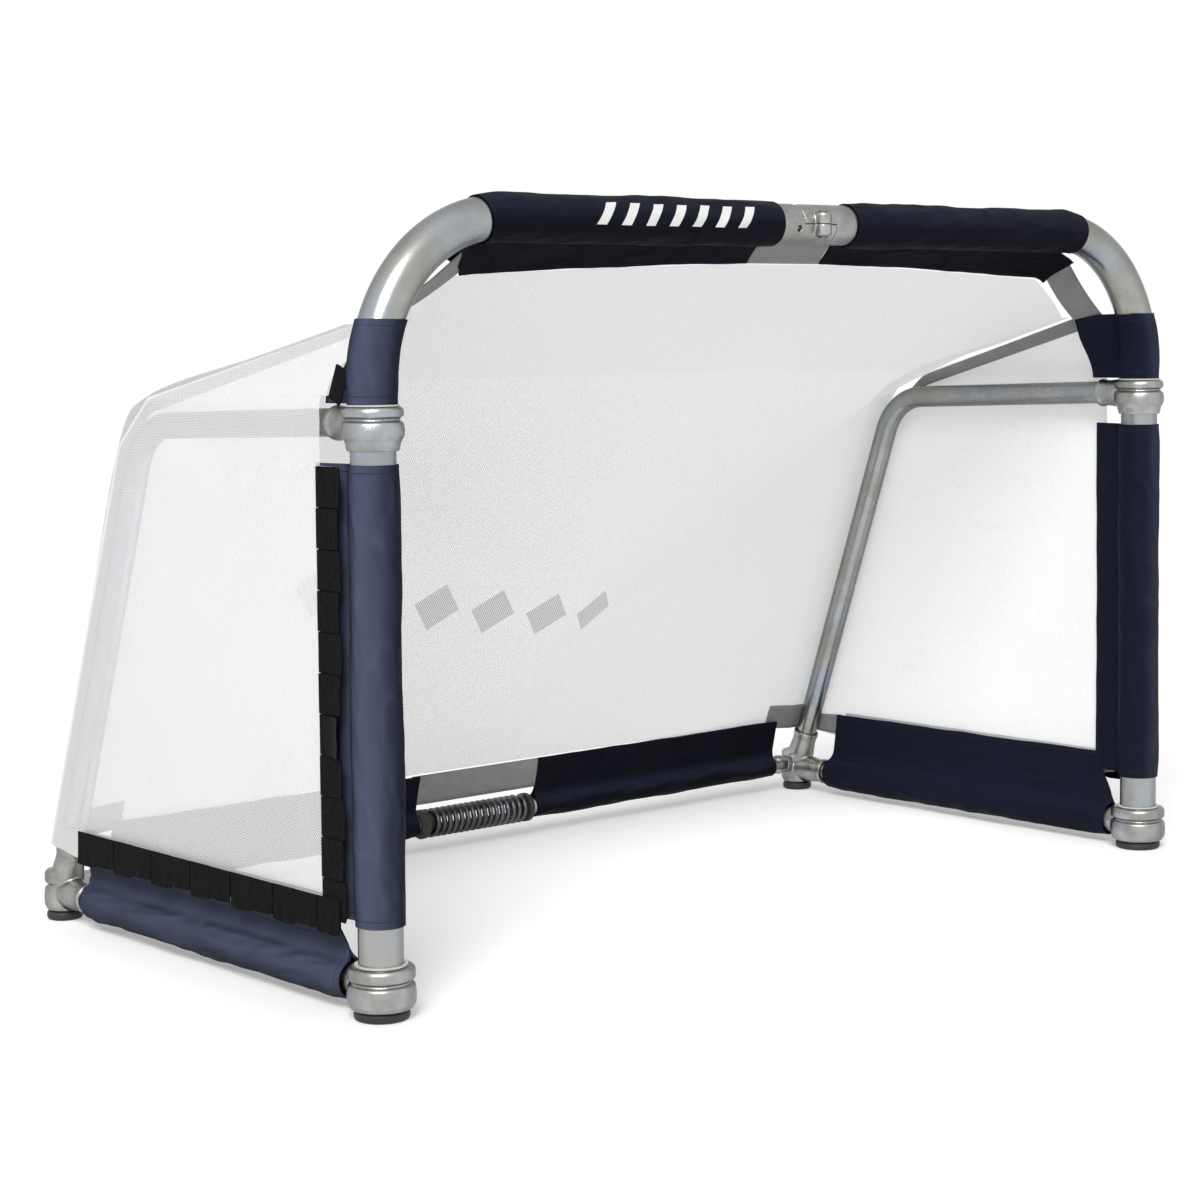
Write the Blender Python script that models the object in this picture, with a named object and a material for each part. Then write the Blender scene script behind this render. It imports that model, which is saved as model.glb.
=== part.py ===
"""Folding practice goal: aluminium tube frame, fabric covers, mesh net, spring-jointed back bar.

The goal stands in its playing position. X runs along the crossbar, Y from the mouth to the back and Z up.
The crossbar breaks at a half-lap hinge in its middle, the two side frames turn on the posts, and the back
bar bends at a coil spring, so that the side frames come to lie beside each other.
"""

import math

import bmesh
import bpy
from mathutils import Matrix, Vector

# Front frame: two posts and the crossbar, one bent tube each side
POST_SPACING = 1.44
MAIN_TUBE_R = 0.027
CROSSBAR_Z = 0.935
CORNER_R = 0.125

# Side frames: arm, sloping leg and ground bar
SIDE_TUBE_R = 0.017
ARM_DROP = 0.241
ARM_FALL = 0.013
ARM_REACH = 0.495
ARM_BEND_R = 0.085
REAR_DEPTH = 0.725
GROUND_BAR_Z = 0.0365

# Back bar and its spring
BACK_TUBE_R = 0.015
BACK_BAR_Z = 0.046
SPRING_COIL_R = 0.0195
SPRING_WIRE_R = 0.003
SPRING_TURNS = 16
SPRING_PITCH = 0.0115
SPRING_POINTS_PER_TURN = 9
SPRING_LEAD = 0.006
SPRING_PIVOT_OFFSET = 0.0333
PLUG_FLANGE_R = 0.0225
PLUG_FLANGE_LENGTH = 0.014
PLUG_NOSE_R = 0.0145
PLUG_NOSE_LENGTH = 0.022

# Collars that join the side frames to the posts
COLLAR_WALL = 0.0085
COLLAR_HEIGHT = 0.0405
COLLAR_BULGE = 0.0032
FOOT_COLLAR_WALL = 0.0125
FOOT_COLLAR_HEIGHT = 0.0505
FOOT_COLLAR_FLOOR = 0.008
BUSH_WALL = 0.0014
BUSH_LIP = 0.0028
BUSH_LIP_HEIGHT = 0.0022
SOCKET_WALL = 0.0028
SOCKET_LENGTH = 0.07
SOCKET_DEPTH = 0.026
FOOT_HEIGHT = 0.012
FOOT_INSET = 0.008

# Rear corner castings and the pivots of the back bar
REAR_CASTING_R = 0.0275
REAR_CASTING_HEIGHT = 0.056
REAR_PIVOT_INSET = 0.048
LUG_R = 0.012
LUG_THICKNESS = 0.006
EYE_R = 0.011
EYE_THICKNESS = 0.012
EYE_NECK = 0.022
EYE_CLEARANCE = 0.001
REAR_PIN_R = 0.0035
REAR_PIN_HEAD_R = 0.0065
PIN_HEAD_HEIGHT = 0.0025
REAR_PIN_PLAY = 0.0024

# Crossbar hinge
HINGE_PIN_OFFSET = 0.029
HINGE_PIN_R = 0.004
HINGE_PIN_HEAD_R = 0.007
HINGE_EYE_R = 0.0115
HINGE_EYE_HEIGHT = 0.016
LAP_HALF_LENGTH = 0.03
CASTING_HALF_LENGTH = 0.078
SCREW_R = 0.0034
SCREW_PLACE = 0.05

# Fabric covers
COVER_THICKNESS = 0.0022
COVER_FOLD = 0.0016
TAIL_THICKNESS = 0.004
TAIL_ROOT = 0.010
TAIL_OPENING = math.radians(24)
COVER_ARC_STEPS = 12
TAIL_LENGTH = 0.092
TAIL_OFFSET = 0.0155
CROSSBAR_TAIL_SLOPE = math.radians(47)
GROUND_TAIL_LENGTH = 0.10
BACK_TAIL_LENGTH = 0.081
COVER_START = 0.07
COVER_INSET = 0.16
LOWER_COVER_BOTTOM = 0.11
COLLAR_NECK = 0.0265
GROUND_COVER_INSET = 0.09
COVER_GAP = 0.003
BACK_COVER_START = 0.133
BACK_COVER_INSET = 0.034

# Net, webbing tape and fastening strips
NET_THICKNESS = 0.002
NET_OFFSET = 0.0198
NET_FRONT = 0.052
NET_SAG = 0.012
NET_LIFT = 0.004
TAPE_THICKNESS = 0.001
TAPE_WIDTH = 0.038
STRIP_THICKNESS = 0.0022
STRIP_WIDTH = 0.048
STRIP_TAB_PITCH = 0.046
STRIP_TAB_STEP = 0.007
STRIP_LAP = 0.008
NOTCH_GAP = 0.006
NOTCH_RISE = 0.012
HEM_CUT = 0.05
HEM_INSET = 0.075
NET_TOP_DROP = 0.012
SEAM_BEND_LEAD = 0.045
SEAM_BEND_RISE = 0.008
SEAM_BEND_INNER = 0.07
SEAM_LEG_START = 0.05
SEAM_LEG_END = 0.84
SEAM_INSET = 0.002
SEAM_DIP = 0.010

# Clearances and facets
TOUCH_GAP = 0.0004
TURN_GAP = 0.0003
TUBE_SIDES = 16
ROUND_SIDES = 20

POST_X = POST_SPACING / 2
ARM_Z = CROSSBAR_Z - ARM_DROP
COVER_END = POST_X - COVER_INSET
GROUND_COVER_START = TAIL_LENGTH + COVER_GAP
GROUND_COVER_END = REAR_DEPTH - GROUND_COVER_INSET
FRONT_REACH = MAIN_TUBE_R + TURN_GAP + BUSH_WALL + FOOT_COLLAR_WALL
REAR_REACH = REAR_DEPTH + REAR_CASTING_R
POST_Y = -(REAR_REACH - FRONT_REACH) / 2
BEND_Z = CROSSBAR_Z - CORNER_R
FOOT_COLLAR_BOTTOM = FOOT_HEIGHT + TOUCH_GAP
FOOT_COLLAR_TOP = FOOT_COLLAR_BOTTOM + FOOT_COLLAR_HEIGHT
COLLAR_BOTTOM = ARM_Z - COLLAR_HEIGHT / 2
COLLAR_TOP = ARM_Z + COLLAR_HEIGHT / 2
BEARING_R = MAIN_TUBE_R + TURN_GAP + BUSH_WALL
COLLAR_R = BEARING_R + COLLAR_WALL
FOOT_COLLAR_R = BEARING_R + FOOT_COLLAR_WALL
LEG_RUN = REAR_DEPTH - ARM_REACH
LEG_RISE = ARM_Z - ARM_FALL - GROUND_BAR_Z
LEG_LENGTH = math.hypot(LEG_RUN, LEG_RISE)
LEG_DIRECTION = Vector((0, -LEG_RUN, LEG_RISE)) / LEG_LENGTH
LEG_OUTWARD = Vector((0, LEG_RISE, LEG_RUN)) / LEG_LENGTH
REAR_PIVOT_X = POST_X - REAR_PIVOT_INSET
BACK_COVER_END = REAR_PIVOT_X - BACK_COVER_INSET
SPRING_HALF_LENGTH = SPRING_TURNS * SPRING_PITCH / 2 + SPRING_LEAD
PLUG_FACE_X = SPRING_HALF_LENGTH + TOUCH_GAP

ALUMINIUM = ((0.56, 0.57, 0.58), 0.34, 1.0)
CAST_ALUMINIUM = ((0.50, 0.51, 0.52), 0.42, 1.0)
SPRING_STEEL = ((0.42, 0.43, 0.45), 0.30, 1.0)
PIN_STEEL = ((0.30, 0.30, 0.31), 0.35, 1.0)
NAVY_FABRIC = ((0.018, 0.022, 0.062), 0.72, 0.0)
BLACK_FABRIC = ((0.008, 0.008, 0.009), 0.85, 0.0)
GREY_WEBBING = ((0.13, 0.14, 0.14), 0.78, 0.0)
WHITE_MESH = ((0.82, 0.83, 0.84), 0.80, 0.0)
BLACK_RUBBER = ((0.012, 0.012, 0.013), 0.75, 0.0)
WHITE_NYLON = ((0.62, 0.62, 0.60), 0.50, 0.0)

LEFT = -1
RIGHT = 1
SIDE_NAMES = {LEFT: "left", RIGHT: "right"}


def clear_scene():
    for old in list(bpy.data.objects):
        bpy.data.objects.remove(old, do_unlink=True)


def clear_bore(radius, gap, sides=TUBE_SIDES):
    """Corner radius of a faceted bore whose flats clear a round bar by the gap."""
    return (radius + gap) / math.cos(math.pi / sides)


def goal_point(x, back, up):
    """A place given from the middle of the mouth at ground level."""
    return Vector((x, POST_Y + back, up))


def add_axis(name, place):
    """An empty on the axis that a group of pieces turns about."""
    axis = bpy.data.objects.new(name, None)
    axis.empty_display_size = 0.05
    axis.location = place
    bpy.context.collection.objects.link(axis)
    return axis


def dress(obj, finish):
    colour, roughness, metallic = finish
    material = bpy.data.materials.new(obj.name + "_finish")
    material.use_nodes = True
    shader = material.node_tree.nodes["Principled BSDF"]
    shader.inputs["Base Color"].default_value = (*colour, 1.0)
    shader.inputs["Roughness"].default_value = roughness
    shader.inputs["Metallic"].default_value = metallic
    obj.data.materials.append(material)


def place_object(obj, pivot, place, rotation=(0, 0, 0)):
    """Hang the object on its pivot, with the place still given in the goal's own frame."""
    bpy.context.collection.objects.link(obj)
    obj.parent = pivot
    obj.location = Vector(place) - pivot.location
    obj.rotation_euler = rotation


def mesh_object(name, bm, finish=None, smooth=True):
    bmesh.ops.recalc_face_normals(bm, faces=bm.faces)
    mesh = bpy.data.meshes.new(name)
    bm.to_mesh(mesh)
    bm.free()
    obj = bpy.data.objects.new(name, mesh)
    if smooth:
        mesh.shade_smooth()
        mesh.set_sharp_from_angle(angle=math.radians(35))
    if finish:
        dress(obj, finish)
    return obj


def make_tool(obj):
    """Mark a helper solid that only shapes another piece."""
    obj.hide_render = True
    obj.display_type = "WIRE"
    return obj


def combine(obj, tool, operation, solver="EXACT"):
    change = obj.modifiers.new(tool.name, "BOOLEAN")
    change.operation = operation
    change.solver = solver
    change.object = make_tool(tool)


def revolve(name, outline, finish=None, sides=ROUND_SIDES):
    """Turn a closed outline of (radius, height) points about Z."""
    bm = bmesh.new()
    corners = [bm.verts.new((radius, 0, height)) for radius, height in outline]
    edges = [bm.edges.new((corners[i - 1], corners[i])) for i in range(len(corners))
             if outline[i - 1][0] or outline[i][0]]
    bmesh.ops.spin(bm, geom=corners + edges, axis=(0, 0, 1), cent=(0, 0, 0),
                   steps=sides, angle=math.tau, use_merge=True)
    bmesh.ops.remove_doubles(bm, verts=bm.verts, dist=1e-6)
    return mesh_object(name, bm, finish)


def cylinder(name, radius, bottom, top, finish=None, sides=ROUND_SIDES):
    return revolve(name, [(0, bottom), (radius, bottom), (radius, top), (0, top)], finish, sides)


def plate(name, outline, thickness, finish=None):
    """A flat sheet cut to an outline in local X and Y, thick along Z."""
    bm = bmesh.new()
    face = bm.faces.new([bm.verts.new((x, y, 0)) for x, y in outline])
    grown = bmesh.ops.extrude_face_region(bm, geom=[face])
    top = [item for item in grown["geom"] if isinstance(item, bmesh.types.BMVert)]
    bmesh.ops.translate(bm, verts=top, vec=(0, 0, thickness))
    bmesh.ops.triangulate(bm, faces=[f for f in bm.faces if len(f.verts) > 4])
    return mesh_object(name, bm, finish, smooth=False)


def tube(name, path, radius, finish, sides=TUBE_SIDES):
    """A closed bar swept along a path of points."""
    curve = bpy.data.curves.new(name, "CURVE")
    curve.dimensions = "3D"
    curve.bevel_depth = radius
    curve.bevel_resolution = (sides - 4) // 2
    curve.use_fill_caps = True
    spline = curve.splines.new("POLY")
    spline.points.add(len(path) - 1)
    for point, place in zip(spline.points, path):
        point.co = (*place, 1)
    obj = bpy.data.objects.new(name, curve)
    dress(obj, finish)
    return obj


def rounded_corner(before, corner, after, radius, steps):
    """Points of the arc that rounds a corner between two straight runs."""
    back = (before - corner).normalized()
    onward = (after - corner).normalized()
    half = back.angle(onward) / 2
    centre = corner + (back + onward).normalized() * radius / math.sin(half)
    start = (corner + back * radius / math.tan(half) - centre).normalized()
    sweep = math.pi - 2 * half
    side = -back
    return [centre + radius * (start * math.cos(sweep * i / steps) + side * math.sin(sweep * i / steps))
            for i in range(steps + 1)]


def cover_section(tube_r, reach, swell):
    """Outer points round a tube and out along the flat tail toward +X, starting at the tail's root."""
    outer = tube_r + TURN_GAP + COVER_THICKNESS
    root = outer + TAIL_ROOT
    half = TAIL_THICKNESS / 2
    points = []
    for i in range(COVER_ARC_STEPS + 1):
        angle = TAIL_OPENING + (math.tau - 2 * TAIL_OPENING) * i / COVER_ARC_STEPS
        radius = outer + swell(angle)
        points.append((radius * math.cos(angle), radius * math.sin(angle)))
    points += [(root, -half * 1.2), (reach, -half), (reach, half), (root, half * 1.2)]
    return points


def cover_bore(tube_r):
    """Inner ring of a cover with one point for each outer point."""
    step = (math.tau - 2 * TAIL_OPENING) / COVER_ARC_STEPS
    radius = (tube_r + TURN_GAP) / math.cos(step / 2)
    angles = [TAIL_OPENING + step * i for i in range(COVER_ARC_STEPS + 1)]
    angles += [TAIL_OPENING * share for share in (-0.6, -0.2, 0.2, 0.6)]
    return [(radius * math.cos(angle), radius * math.sin(angle)) for angle in angles]


def fabric_cover(name, length, tube_r, reach, folds):
    """A sleeve along local Z, drawn round a tube and closed in a flat tail toward local X."""
    bm = bmesh.new()
    rows = max(3, round(length / 0.075))
    rings = []
    for row in range(rows + 1):
        share = row / rows

        def swell(angle, share=share):
            wave = math.sin(folds * math.pi * share + 2 * angle) * math.sin(math.pi * share)
            return COVER_FOLD * wave * wave

        tail = reach - COVER_FOLD * (1 - math.cos(folds * math.tau * share))
        section = cover_section(tube_r, tail, swell)
        rings.append([bm.verts.new((x, y, length * share)) for x, y in section])
    count = len(rings[0])
    bores = [[bm.verts.new((x, y, z)) for x, y in cover_bore(tube_r)] for z in (0, length)]
    for ring, above in zip(rings, rings[1:]):
        for i in range(count):
            bm.faces.new((ring[i - 1], ring[i], above[i], above[i - 1]))
    for i in range(count):
        bm.faces.new((bores[0][i], bores[0][i - 1], bores[1][i - 1], bores[1][i]))
        bm.faces.new((rings[0][i], rings[0][i - 1], bores[0][i - 1], bores[0][i]))
        bm.faces.new((rings[-1][i - 1], rings[-1][i], bores[1][i], bores[1][i - 1]))
    return mesh_object(name, bm, NAVY_FABRIC)


def bulged_outline(radius, height, bottom):
    """Two rounded bands with a groove between them, as the cast collars have."""
    edge = radius - COLLAR_BULGE
    points = [(0, bottom)]
    for band in range(2):
        start = bottom + band * height / 2
        for step in range(4):
            turn = math.pi * (step + 0.5) / 4
            points.append((edge + COLLAR_BULGE * math.sin(turn), start + height / 2 * (step + 0.15) / 3.3))
    points[1] = (edge, bottom)
    points[-1] = (edge, bottom + height)
    points.append((0, bottom + height))
    return points


def socket_boss(name, tube_r, length):
    """A tapering socket along +Z with a rolled lip at its mouth."""
    outer = tube_r + SOCKET_WALL
    lip = 0.0012
    outline = [(0, 0), (outer, 0), (outer, length - 0.010), (outer + lip, length - 0.008),
               (outer + lip, length), (0, length)]
    return revolve(name, outline, sides=TUBE_SIDES)


def point_along(direction):
    """Rotation that turns local Z to a direction in the YZ plane."""
    return (-math.atan2(direction.y, direction.z), 0, 0)


def add_collar(side, pivot, name, radius, bottom, height, bore_bottom, socket_z):
    """A cast collar round the post with a socket that points to the back."""
    place = (side * POST_X, 0, 0)
    collar = revolve(name, bulged_outline(radius, height, bottom), CAST_ALUMINIUM)
    boss = socket_boss(name + "_socket", SIDE_TUBE_R, SOCKET_LENGTH)
    bore = cylinder(name + "_bore", clear_bore(BEARING_R, TOUCH_GAP, ROUND_SIDES), bore_bottom,
                    bottom + height + 0.01)
    hole = cylinder(name + "_socket_bore", clear_bore(SIDE_TUBE_R, TURN_GAP), SOCKET_LENGTH - SOCKET_DEPTH,
                    SOCKET_LENGTH + 0.01, sides=TUBE_SIDES)
    place_object(collar, pivot, place)
    for tool, rotation in ((boss, (-math.pi / 2, 0, 0)), (bore, (0, 0, 0)), (hole, (-math.pi / 2, 0, 0))):
        where = place if tool is bore else (place[0], 0, socket_z)
        place_object(tool, pivot, where, rotation)
    combine(collar, boss, "UNION")
    combine(collar, bore, "DIFFERENCE")
    combine(collar, hole, "DIFFERENCE")


def add_bush(side, pivot, name, bottom, top):
    """A nylon sleeve that the post turns in, with a lip over the collar's upper edge."""
    inner = clear_bore(MAIN_TUBE_R, TURN_GAP, ROUND_SIDES)
    outer = BEARING_R
    outline = [(inner, bottom), (outer, bottom), (outer, top + TOUCH_GAP),
               (outer + BUSH_LIP, top + TOUCH_GAP), (outer + BUSH_LIP, top + BUSH_LIP_HEIGHT),
               (inner, top + BUSH_LIP_HEIGHT)]
    place_object(revolve(name, outline, WHITE_NYLON), pivot, (side * POST_X, 0, 0))


def add_foot(side, pivot, name, radius, back):
    """A rubber pad with a rounded edge under a casting."""
    edge = 0.003
    outline = [(0, 0), (radius - edge, 0), (radius, edge), (radius, FOOT_HEIGHT - edge),
               (radius - edge, FOOT_HEIGHT), (0, FOOT_HEIGHT)]
    place_object(revolve(name, outline, BLACK_RUBBER), pivot, (side * POST_X, back, 0))


def add_pin(name, pivot, place, radius, head_r, half_length):
    """A straight pin along Z with a domed head at each end."""
    head = half_length + PIN_HEAD_HEIGHT
    outline = [(0, -head), (head_r * 0.7, -head), (head_r, -half_length - PIN_HEAD_HEIGHT * 0.4),
               (head_r, -half_length), (radius, -half_length), (radius, half_length),
               (head_r, half_length), (head_r, half_length + PIN_HEAD_HEIGHT * 0.4), (head_r * 0.7, head),
               (0, head)]
    place_object(revolve(name, outline, PIN_STEEL, 12), pivot, place)


def add_front_half(side, pivot):
    """The bent tube of one post and half the crossbar, with its cover and its half of the hinge."""
    label = SIDE_NAMES[side]
    post_x = side * POST_X
    tube_end = CASTING_HALF_LENGTH + TOUCH_GAP
    foot = Vector((post_x, 0, FOOT_COLLAR_BOTTOM + FOOT_COLLAR_FLOOR + TOUCH_GAP))
    corner = Vector((post_x, 0, CROSSBAR_Z))
    middle = Vector((side * tube_end, 0, CROSSBAR_Z))
    path = [foot, *rounded_corner(foot, corner, middle, CORNER_R, 7), middle]
    origin = Vector((post_x, 0, 0))
    post = tube(label + "_post_tube", [point - origin for point in path], MAIN_TUBE_R, ALUMINIUM)
    place_object(post, pivot, origin)

    cover = fabric_cover(label + "_crossbar_cover", COVER_END - COVER_START, MAIN_TUBE_R, TAIL_LENGTH, 5)
    place_object(cover, pivot, (side * COVER_START, 0, CROSSBAR_Z))
    cover.rotation_mode = "QUATERNION"
    tail = Vector((0, math.cos(CROSSBAR_TAIL_SLOPE), -math.sin(CROSSBAR_TAIL_SLOPE)))
    cover.rotation_quaternion = frame_rotation(tail, Vector((side, 0, 0)))
    add_hinge_casting(side, pivot)


def frame_rotation(local_x, local_z):
    """Quaternion that carries local X and Z to two directions at right angles."""
    local_y = local_z.cross(local_x)
    return Matrix((local_x, local_y, local_z)).transposed().to_quaternion()


def add_hinge_casting(side, pivot):
    """A cast half of the crossbar hinge: round body, half-lap tongue and the eye in front of the bar."""
    label = SIDE_NAMES[side]
    name = label + "_hinge_casting"
    lap_top = -TOUCH_GAP / 2 if side == LEFT else CROSSBAR_Z
    lap_bottom = TOUCH_GAP / 2 if side == RIGHT else -CROSSBAR_Z
    shoulder = LAP_HALF_LENGTH + TOUCH_GAP
    body = revolve(name, [(0, -LAP_HALF_LENGTH), (MAIN_TUBE_R, -LAP_HALF_LENGTH),
                          (MAIN_TUBE_R, CASTING_HALF_LENGTH), (0, CASTING_HALF_LENGTH)],
                   CAST_ALUMINIUM, TUBE_SIDES)
    place_object(body, pivot, (0, 0, CROSSBAR_Z), (0, side * math.pi / 2, 0))
    eye_bottom = -HINGE_EYE_HEIGHT if side == LEFT else -0.03
    eye_top = 0.03 if side == LEFT else HINGE_EYE_HEIGHT
    eye = cylinder(name + "_eye", HINGE_EYE_R, eye_bottom, eye_top, sides=TUBE_SIDES)
    place_object(eye, pivot, (0, -HINGE_PIN_OFFSET, CROSSBAR_Z))
    combine(body, eye, "UNION", "MANIFOLD")
    block_bottom, block_top = (lap_top, 0.06) if side == LEFT else (-0.06, lap_bottom)
    inner, outer = sorted((side * shoulder, -side * 0.06))
    outline = [(inner, -0.06), (outer, -0.06), (outer, 0.06), (inner, 0.06)]
    block = plate(name + "_lap", outline, block_top - block_bottom)
    place_object(block, pivot, (0, 0, CROSSBAR_Z + block_bottom))
    combine(body, block, "DIFFERENCE", "MANIFOLD")
    hole = cylinder(name + "_pin_hole", clear_bore(HINGE_PIN_R, TURN_GAP), -0.06, 0.06, sides=TUBE_SIDES)
    place_object(hole, pivot, (0, -HINGE_PIN_OFFSET, CROSSBAR_Z))
    combine(body, hole, "DIFFERENCE", "MANIFOLD")
    recess = cylinder(name + "_screw_recess", SCREW_R, 0.018, 0.05, sides=12)
    place_object(recess, pivot, (side * SCREW_PLACE, 0, CROSSBAR_Z), (math.radians(112), 0, 0))
    combine(body, recess, "DIFFERENCE", "MANIFOLD")


def side_tube_path(post_x):
    """Arm, bend and sloping leg of one side frame, from socket to socket."""
    start = Vector((post_x, SOCKET_LENGTH - SOCKET_DEPTH + TOUCH_GAP, ARM_Z))
    corner = Vector((post_x, ARM_REACH, ARM_Z - ARM_FALL))
    rear = Vector((post_x, REAR_DEPTH, GROUND_BAR_Z))
    end = rear + LEG_DIRECTION * (SOCKET_LENGTH - SOCKET_DEPTH + TOUCH_GAP)
    level = Vector((post_x, SOCKET_LENGTH + 0.02, ARM_Z))
    return [start, level, *rounded_corner(level, corner, rear, ARM_BEND_R, 7), end]


def add_side_frame(side, pivot):
    """Collars, bushes, tubes, rear casting and feet of one side frame."""
    label = SIDE_NAMES[side]
    post_x = side * POST_X
    origin = Vector((post_x, 0, 0))
    add_collar(side, pivot, label + "_upper_collar", COLLAR_R, COLLAR_BOTTOM, COLLAR_HEIGHT,
               COLLAR_BOTTOM - 0.01, ARM_Z)
    add_collar(side, pivot, label + "_foot_collar", FOOT_COLLAR_R, FOOT_COLLAR_BOTTOM, FOOT_COLLAR_HEIGHT,
               FOOT_COLLAR_BOTTOM + FOOT_COLLAR_FLOOR, GROUND_BAR_Z)
    add_bush(side, pivot, label + "_upper_bush", COLLAR_BOTTOM, COLLAR_TOP)
    add_bush(side, pivot, label + "_lower_bush",
             FOOT_COLLAR_BOTTOM + FOOT_COLLAR_FLOOR + TOUCH_GAP, FOOT_COLLAR_TOP)
    add_foot(side, pivot, label + "_post_foot", FOOT_COLLAR_R - FOOT_INSET, 0)
    add_foot(side, pivot, label + "_rear_foot", REAR_CASTING_R - FOOT_INSET * 0.4, REAR_DEPTH)
    arm = tube(label + "_side_tube", [p - origin for p in side_tube_path(post_x)], SIDE_TUBE_R, ALUMINIUM)
    place_object(arm, pivot, origin)
    ground_start = SOCKET_LENGTH - SOCKET_DEPTH + TOUCH_GAP
    ground = [Vector((0, ground_start, 0)), Vector((0, REAR_DEPTH - ground_start, 0))]
    bar = tube(label + "_ground_tube", ground, SIDE_TUBE_R, ALUMINIUM)
    place_object(bar, pivot, (post_x, 0, GROUND_BAR_Z))
    add_rear_corner(side, pivot)


def add_rear_corner(side, pivot):
    """The casting that joins leg and ground bar, and holds the back bar's pin between two lugs."""
    label = SIDE_NAMES[side]
    name = label + "_rear_corner"
    post_x = side * POST_X
    bottom = FOOT_HEIGHT + TOUCH_GAP
    casting = revolve(name, bulged_outline(REAR_CASTING_R, REAR_CASTING_HEIGHT, bottom), CAST_ALUMINIUM)
    place_object(casting, pivot, (post_x, REAR_DEPTH, 0))
    rear = Vector((post_x, REAR_DEPTH, GROUND_BAR_Z))
    for part, direction in (("leg", LEG_DIRECTION), ("ground", Vector((0, -1, 0)))):
        boss = socket_boss(f"{name}_{part}_socket", SIDE_TUBE_R, SOCKET_LENGTH)
        place_object(boss, pivot, rear, point_along(direction))
        combine(casting, boss, "UNION", "MANIFOLD")
    lug_half = EYE_THICKNESS / 2 + TOUCH_GAP + LUG_THICKNESS
    lugs = lug_block(name + "_lugs", side, LUG_R, 2 * lug_half, REAR_PIVOT_INSET)
    place_object(lugs, pivot, (side * REAR_PIVOT_X, REAR_DEPTH, BACK_BAR_Z - lug_half))
    combine(casting, lugs, "UNION", "MANIFOLD")
    for part, direction in (("leg", LEG_DIRECTION), ("ground", Vector((0, -1, 0)))):
        hole = cylinder(f"{name}_{part}_bore", clear_bore(SIDE_TUBE_R, TURN_GAP),
                        SOCKET_LENGTH - SOCKET_DEPTH, SOCKET_LENGTH + 0.01, sides=TUBE_SIDES)
        place_object(hole, pivot, rear, point_along(direction))
        combine(casting, hole, "DIFFERENCE", "MANIFOLD")
    gap_half = EYE_THICKNESS / 2 + TOUCH_GAP
    slot_end = EYE_R + REAR_PIN_PLAY + EYE_CLEARANCE
    slot_outline = [(side * slot_end, -LUG_R - 0.001), (side * slot_end, LUG_R + 0.001),
                    (-side * LUG_R * 1.2, LUG_R + 0.001), (-side * LUG_R * 1.2, -LUG_R - 0.001)]
    gap = plate(name + "_gap", slot_outline, 2 * gap_half)
    place_object(gap, pivot, (side * REAR_PIVOT_X, REAR_DEPTH, BACK_BAR_Z - gap_half))
    combine(casting, gap, "DIFFERENCE", "MANIFOLD")
    hole = cylinder(name + "_pin_hole", clear_bore(REAR_PIN_R, TURN_GAP), -lug_half - 0.01,
                    lug_half + 0.01, sides=TUBE_SIDES)
    place_object(hole, pivot, (side * REAR_PIVOT_X, REAR_DEPTH, BACK_BAR_Z))
    combine(casting, hole, "DIFFERENCE", "MANIFOLD")
    add_pin(label + "_rear_pin", pivot, (side * REAR_PIVOT_X, REAR_DEPTH, BACK_BAR_Z), REAR_PIN_R,
            REAR_PIN_HEAD_R, lug_half + TOUCH_GAP)


def lug_block(name, side, radius, thickness, reach):
    """A bar with one round end about the origin that runs outward to a casting."""
    steps = 8
    outline = [(side * reach, -radius), (side * reach, radius)]
    for i in range(steps + 1):
        angle = math.pi / 2 + math.pi * i / steps
        outline.append((side * radius * math.cos(angle), radius * math.sin(angle)))
    return plate(name, outline, thickness)


def add_post_covers(side, pivot):
    """Sleeves below and above the collar, whose tails lie in the plane of the side net."""
    label = SIDE_NAMES[side]
    lean = math.asin(TAIL_OFFSET / TAIL_LENGTH)
    turn = (0, 0, math.pi / 2 - side * lean)
    lower_top = COLLAR_BOTTOM - COLLAR_NECK
    lower = fabric_cover(label + "_lower_post_cover", lower_top - LOWER_COVER_BOTTOM, MAIN_TUBE_R,
                         TAIL_LENGTH, 4)
    place_object(lower, pivot, (side * POST_X, 0, LOWER_COVER_BOTTOM), turn)
    upper_bottom = COLLAR_TOP + BUSH_LIP_HEIGHT + TOUCH_GAP
    upper = fabric_cover(label + "_upper_post_cover", BEND_Z - TOUCH_GAP - upper_bottom, MAIN_TUBE_R,
                         TAIL_LENGTH, 2)
    place_object(upper, pivot, (side * POST_X, 0, upper_bottom), turn)


def add_ground_cover(side, pivot):
    """Sleeve on the ground bar, with its tail standing up inside the side net."""
    label = SIDE_NAMES[side]
    cover = fabric_cover(label + "_ground_cover", GROUND_COVER_END - GROUND_COVER_START, SIDE_TUBE_R,
                         GROUND_TAIL_LENGTH, 5)
    place_object(cover, pivot, (side * POST_X, GROUND_COVER_START, GROUND_BAR_Z))
    lean = math.asin(TAIL_OFFSET / GROUND_TAIL_LENGTH)
    cover.rotation_mode = "QUATERNION"
    cover.rotation_quaternion = frame_rotation(Vector((side * math.sin(lean), 0, math.cos(lean))),
                                               Vector((0, 1, 0)))


def net_plane_rotation(side):
    """Turns a sheet drawn in X and Y so that X points back, Y up and its thickness away from the goal."""
    back = Vector((0, 1, 0))
    outward = Vector((side, 0, 0))
    if side == RIGHT:
        return frame_rotation(back, outward)
    return frame_rotation(back, Vector((1, 0, 0)))


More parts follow.
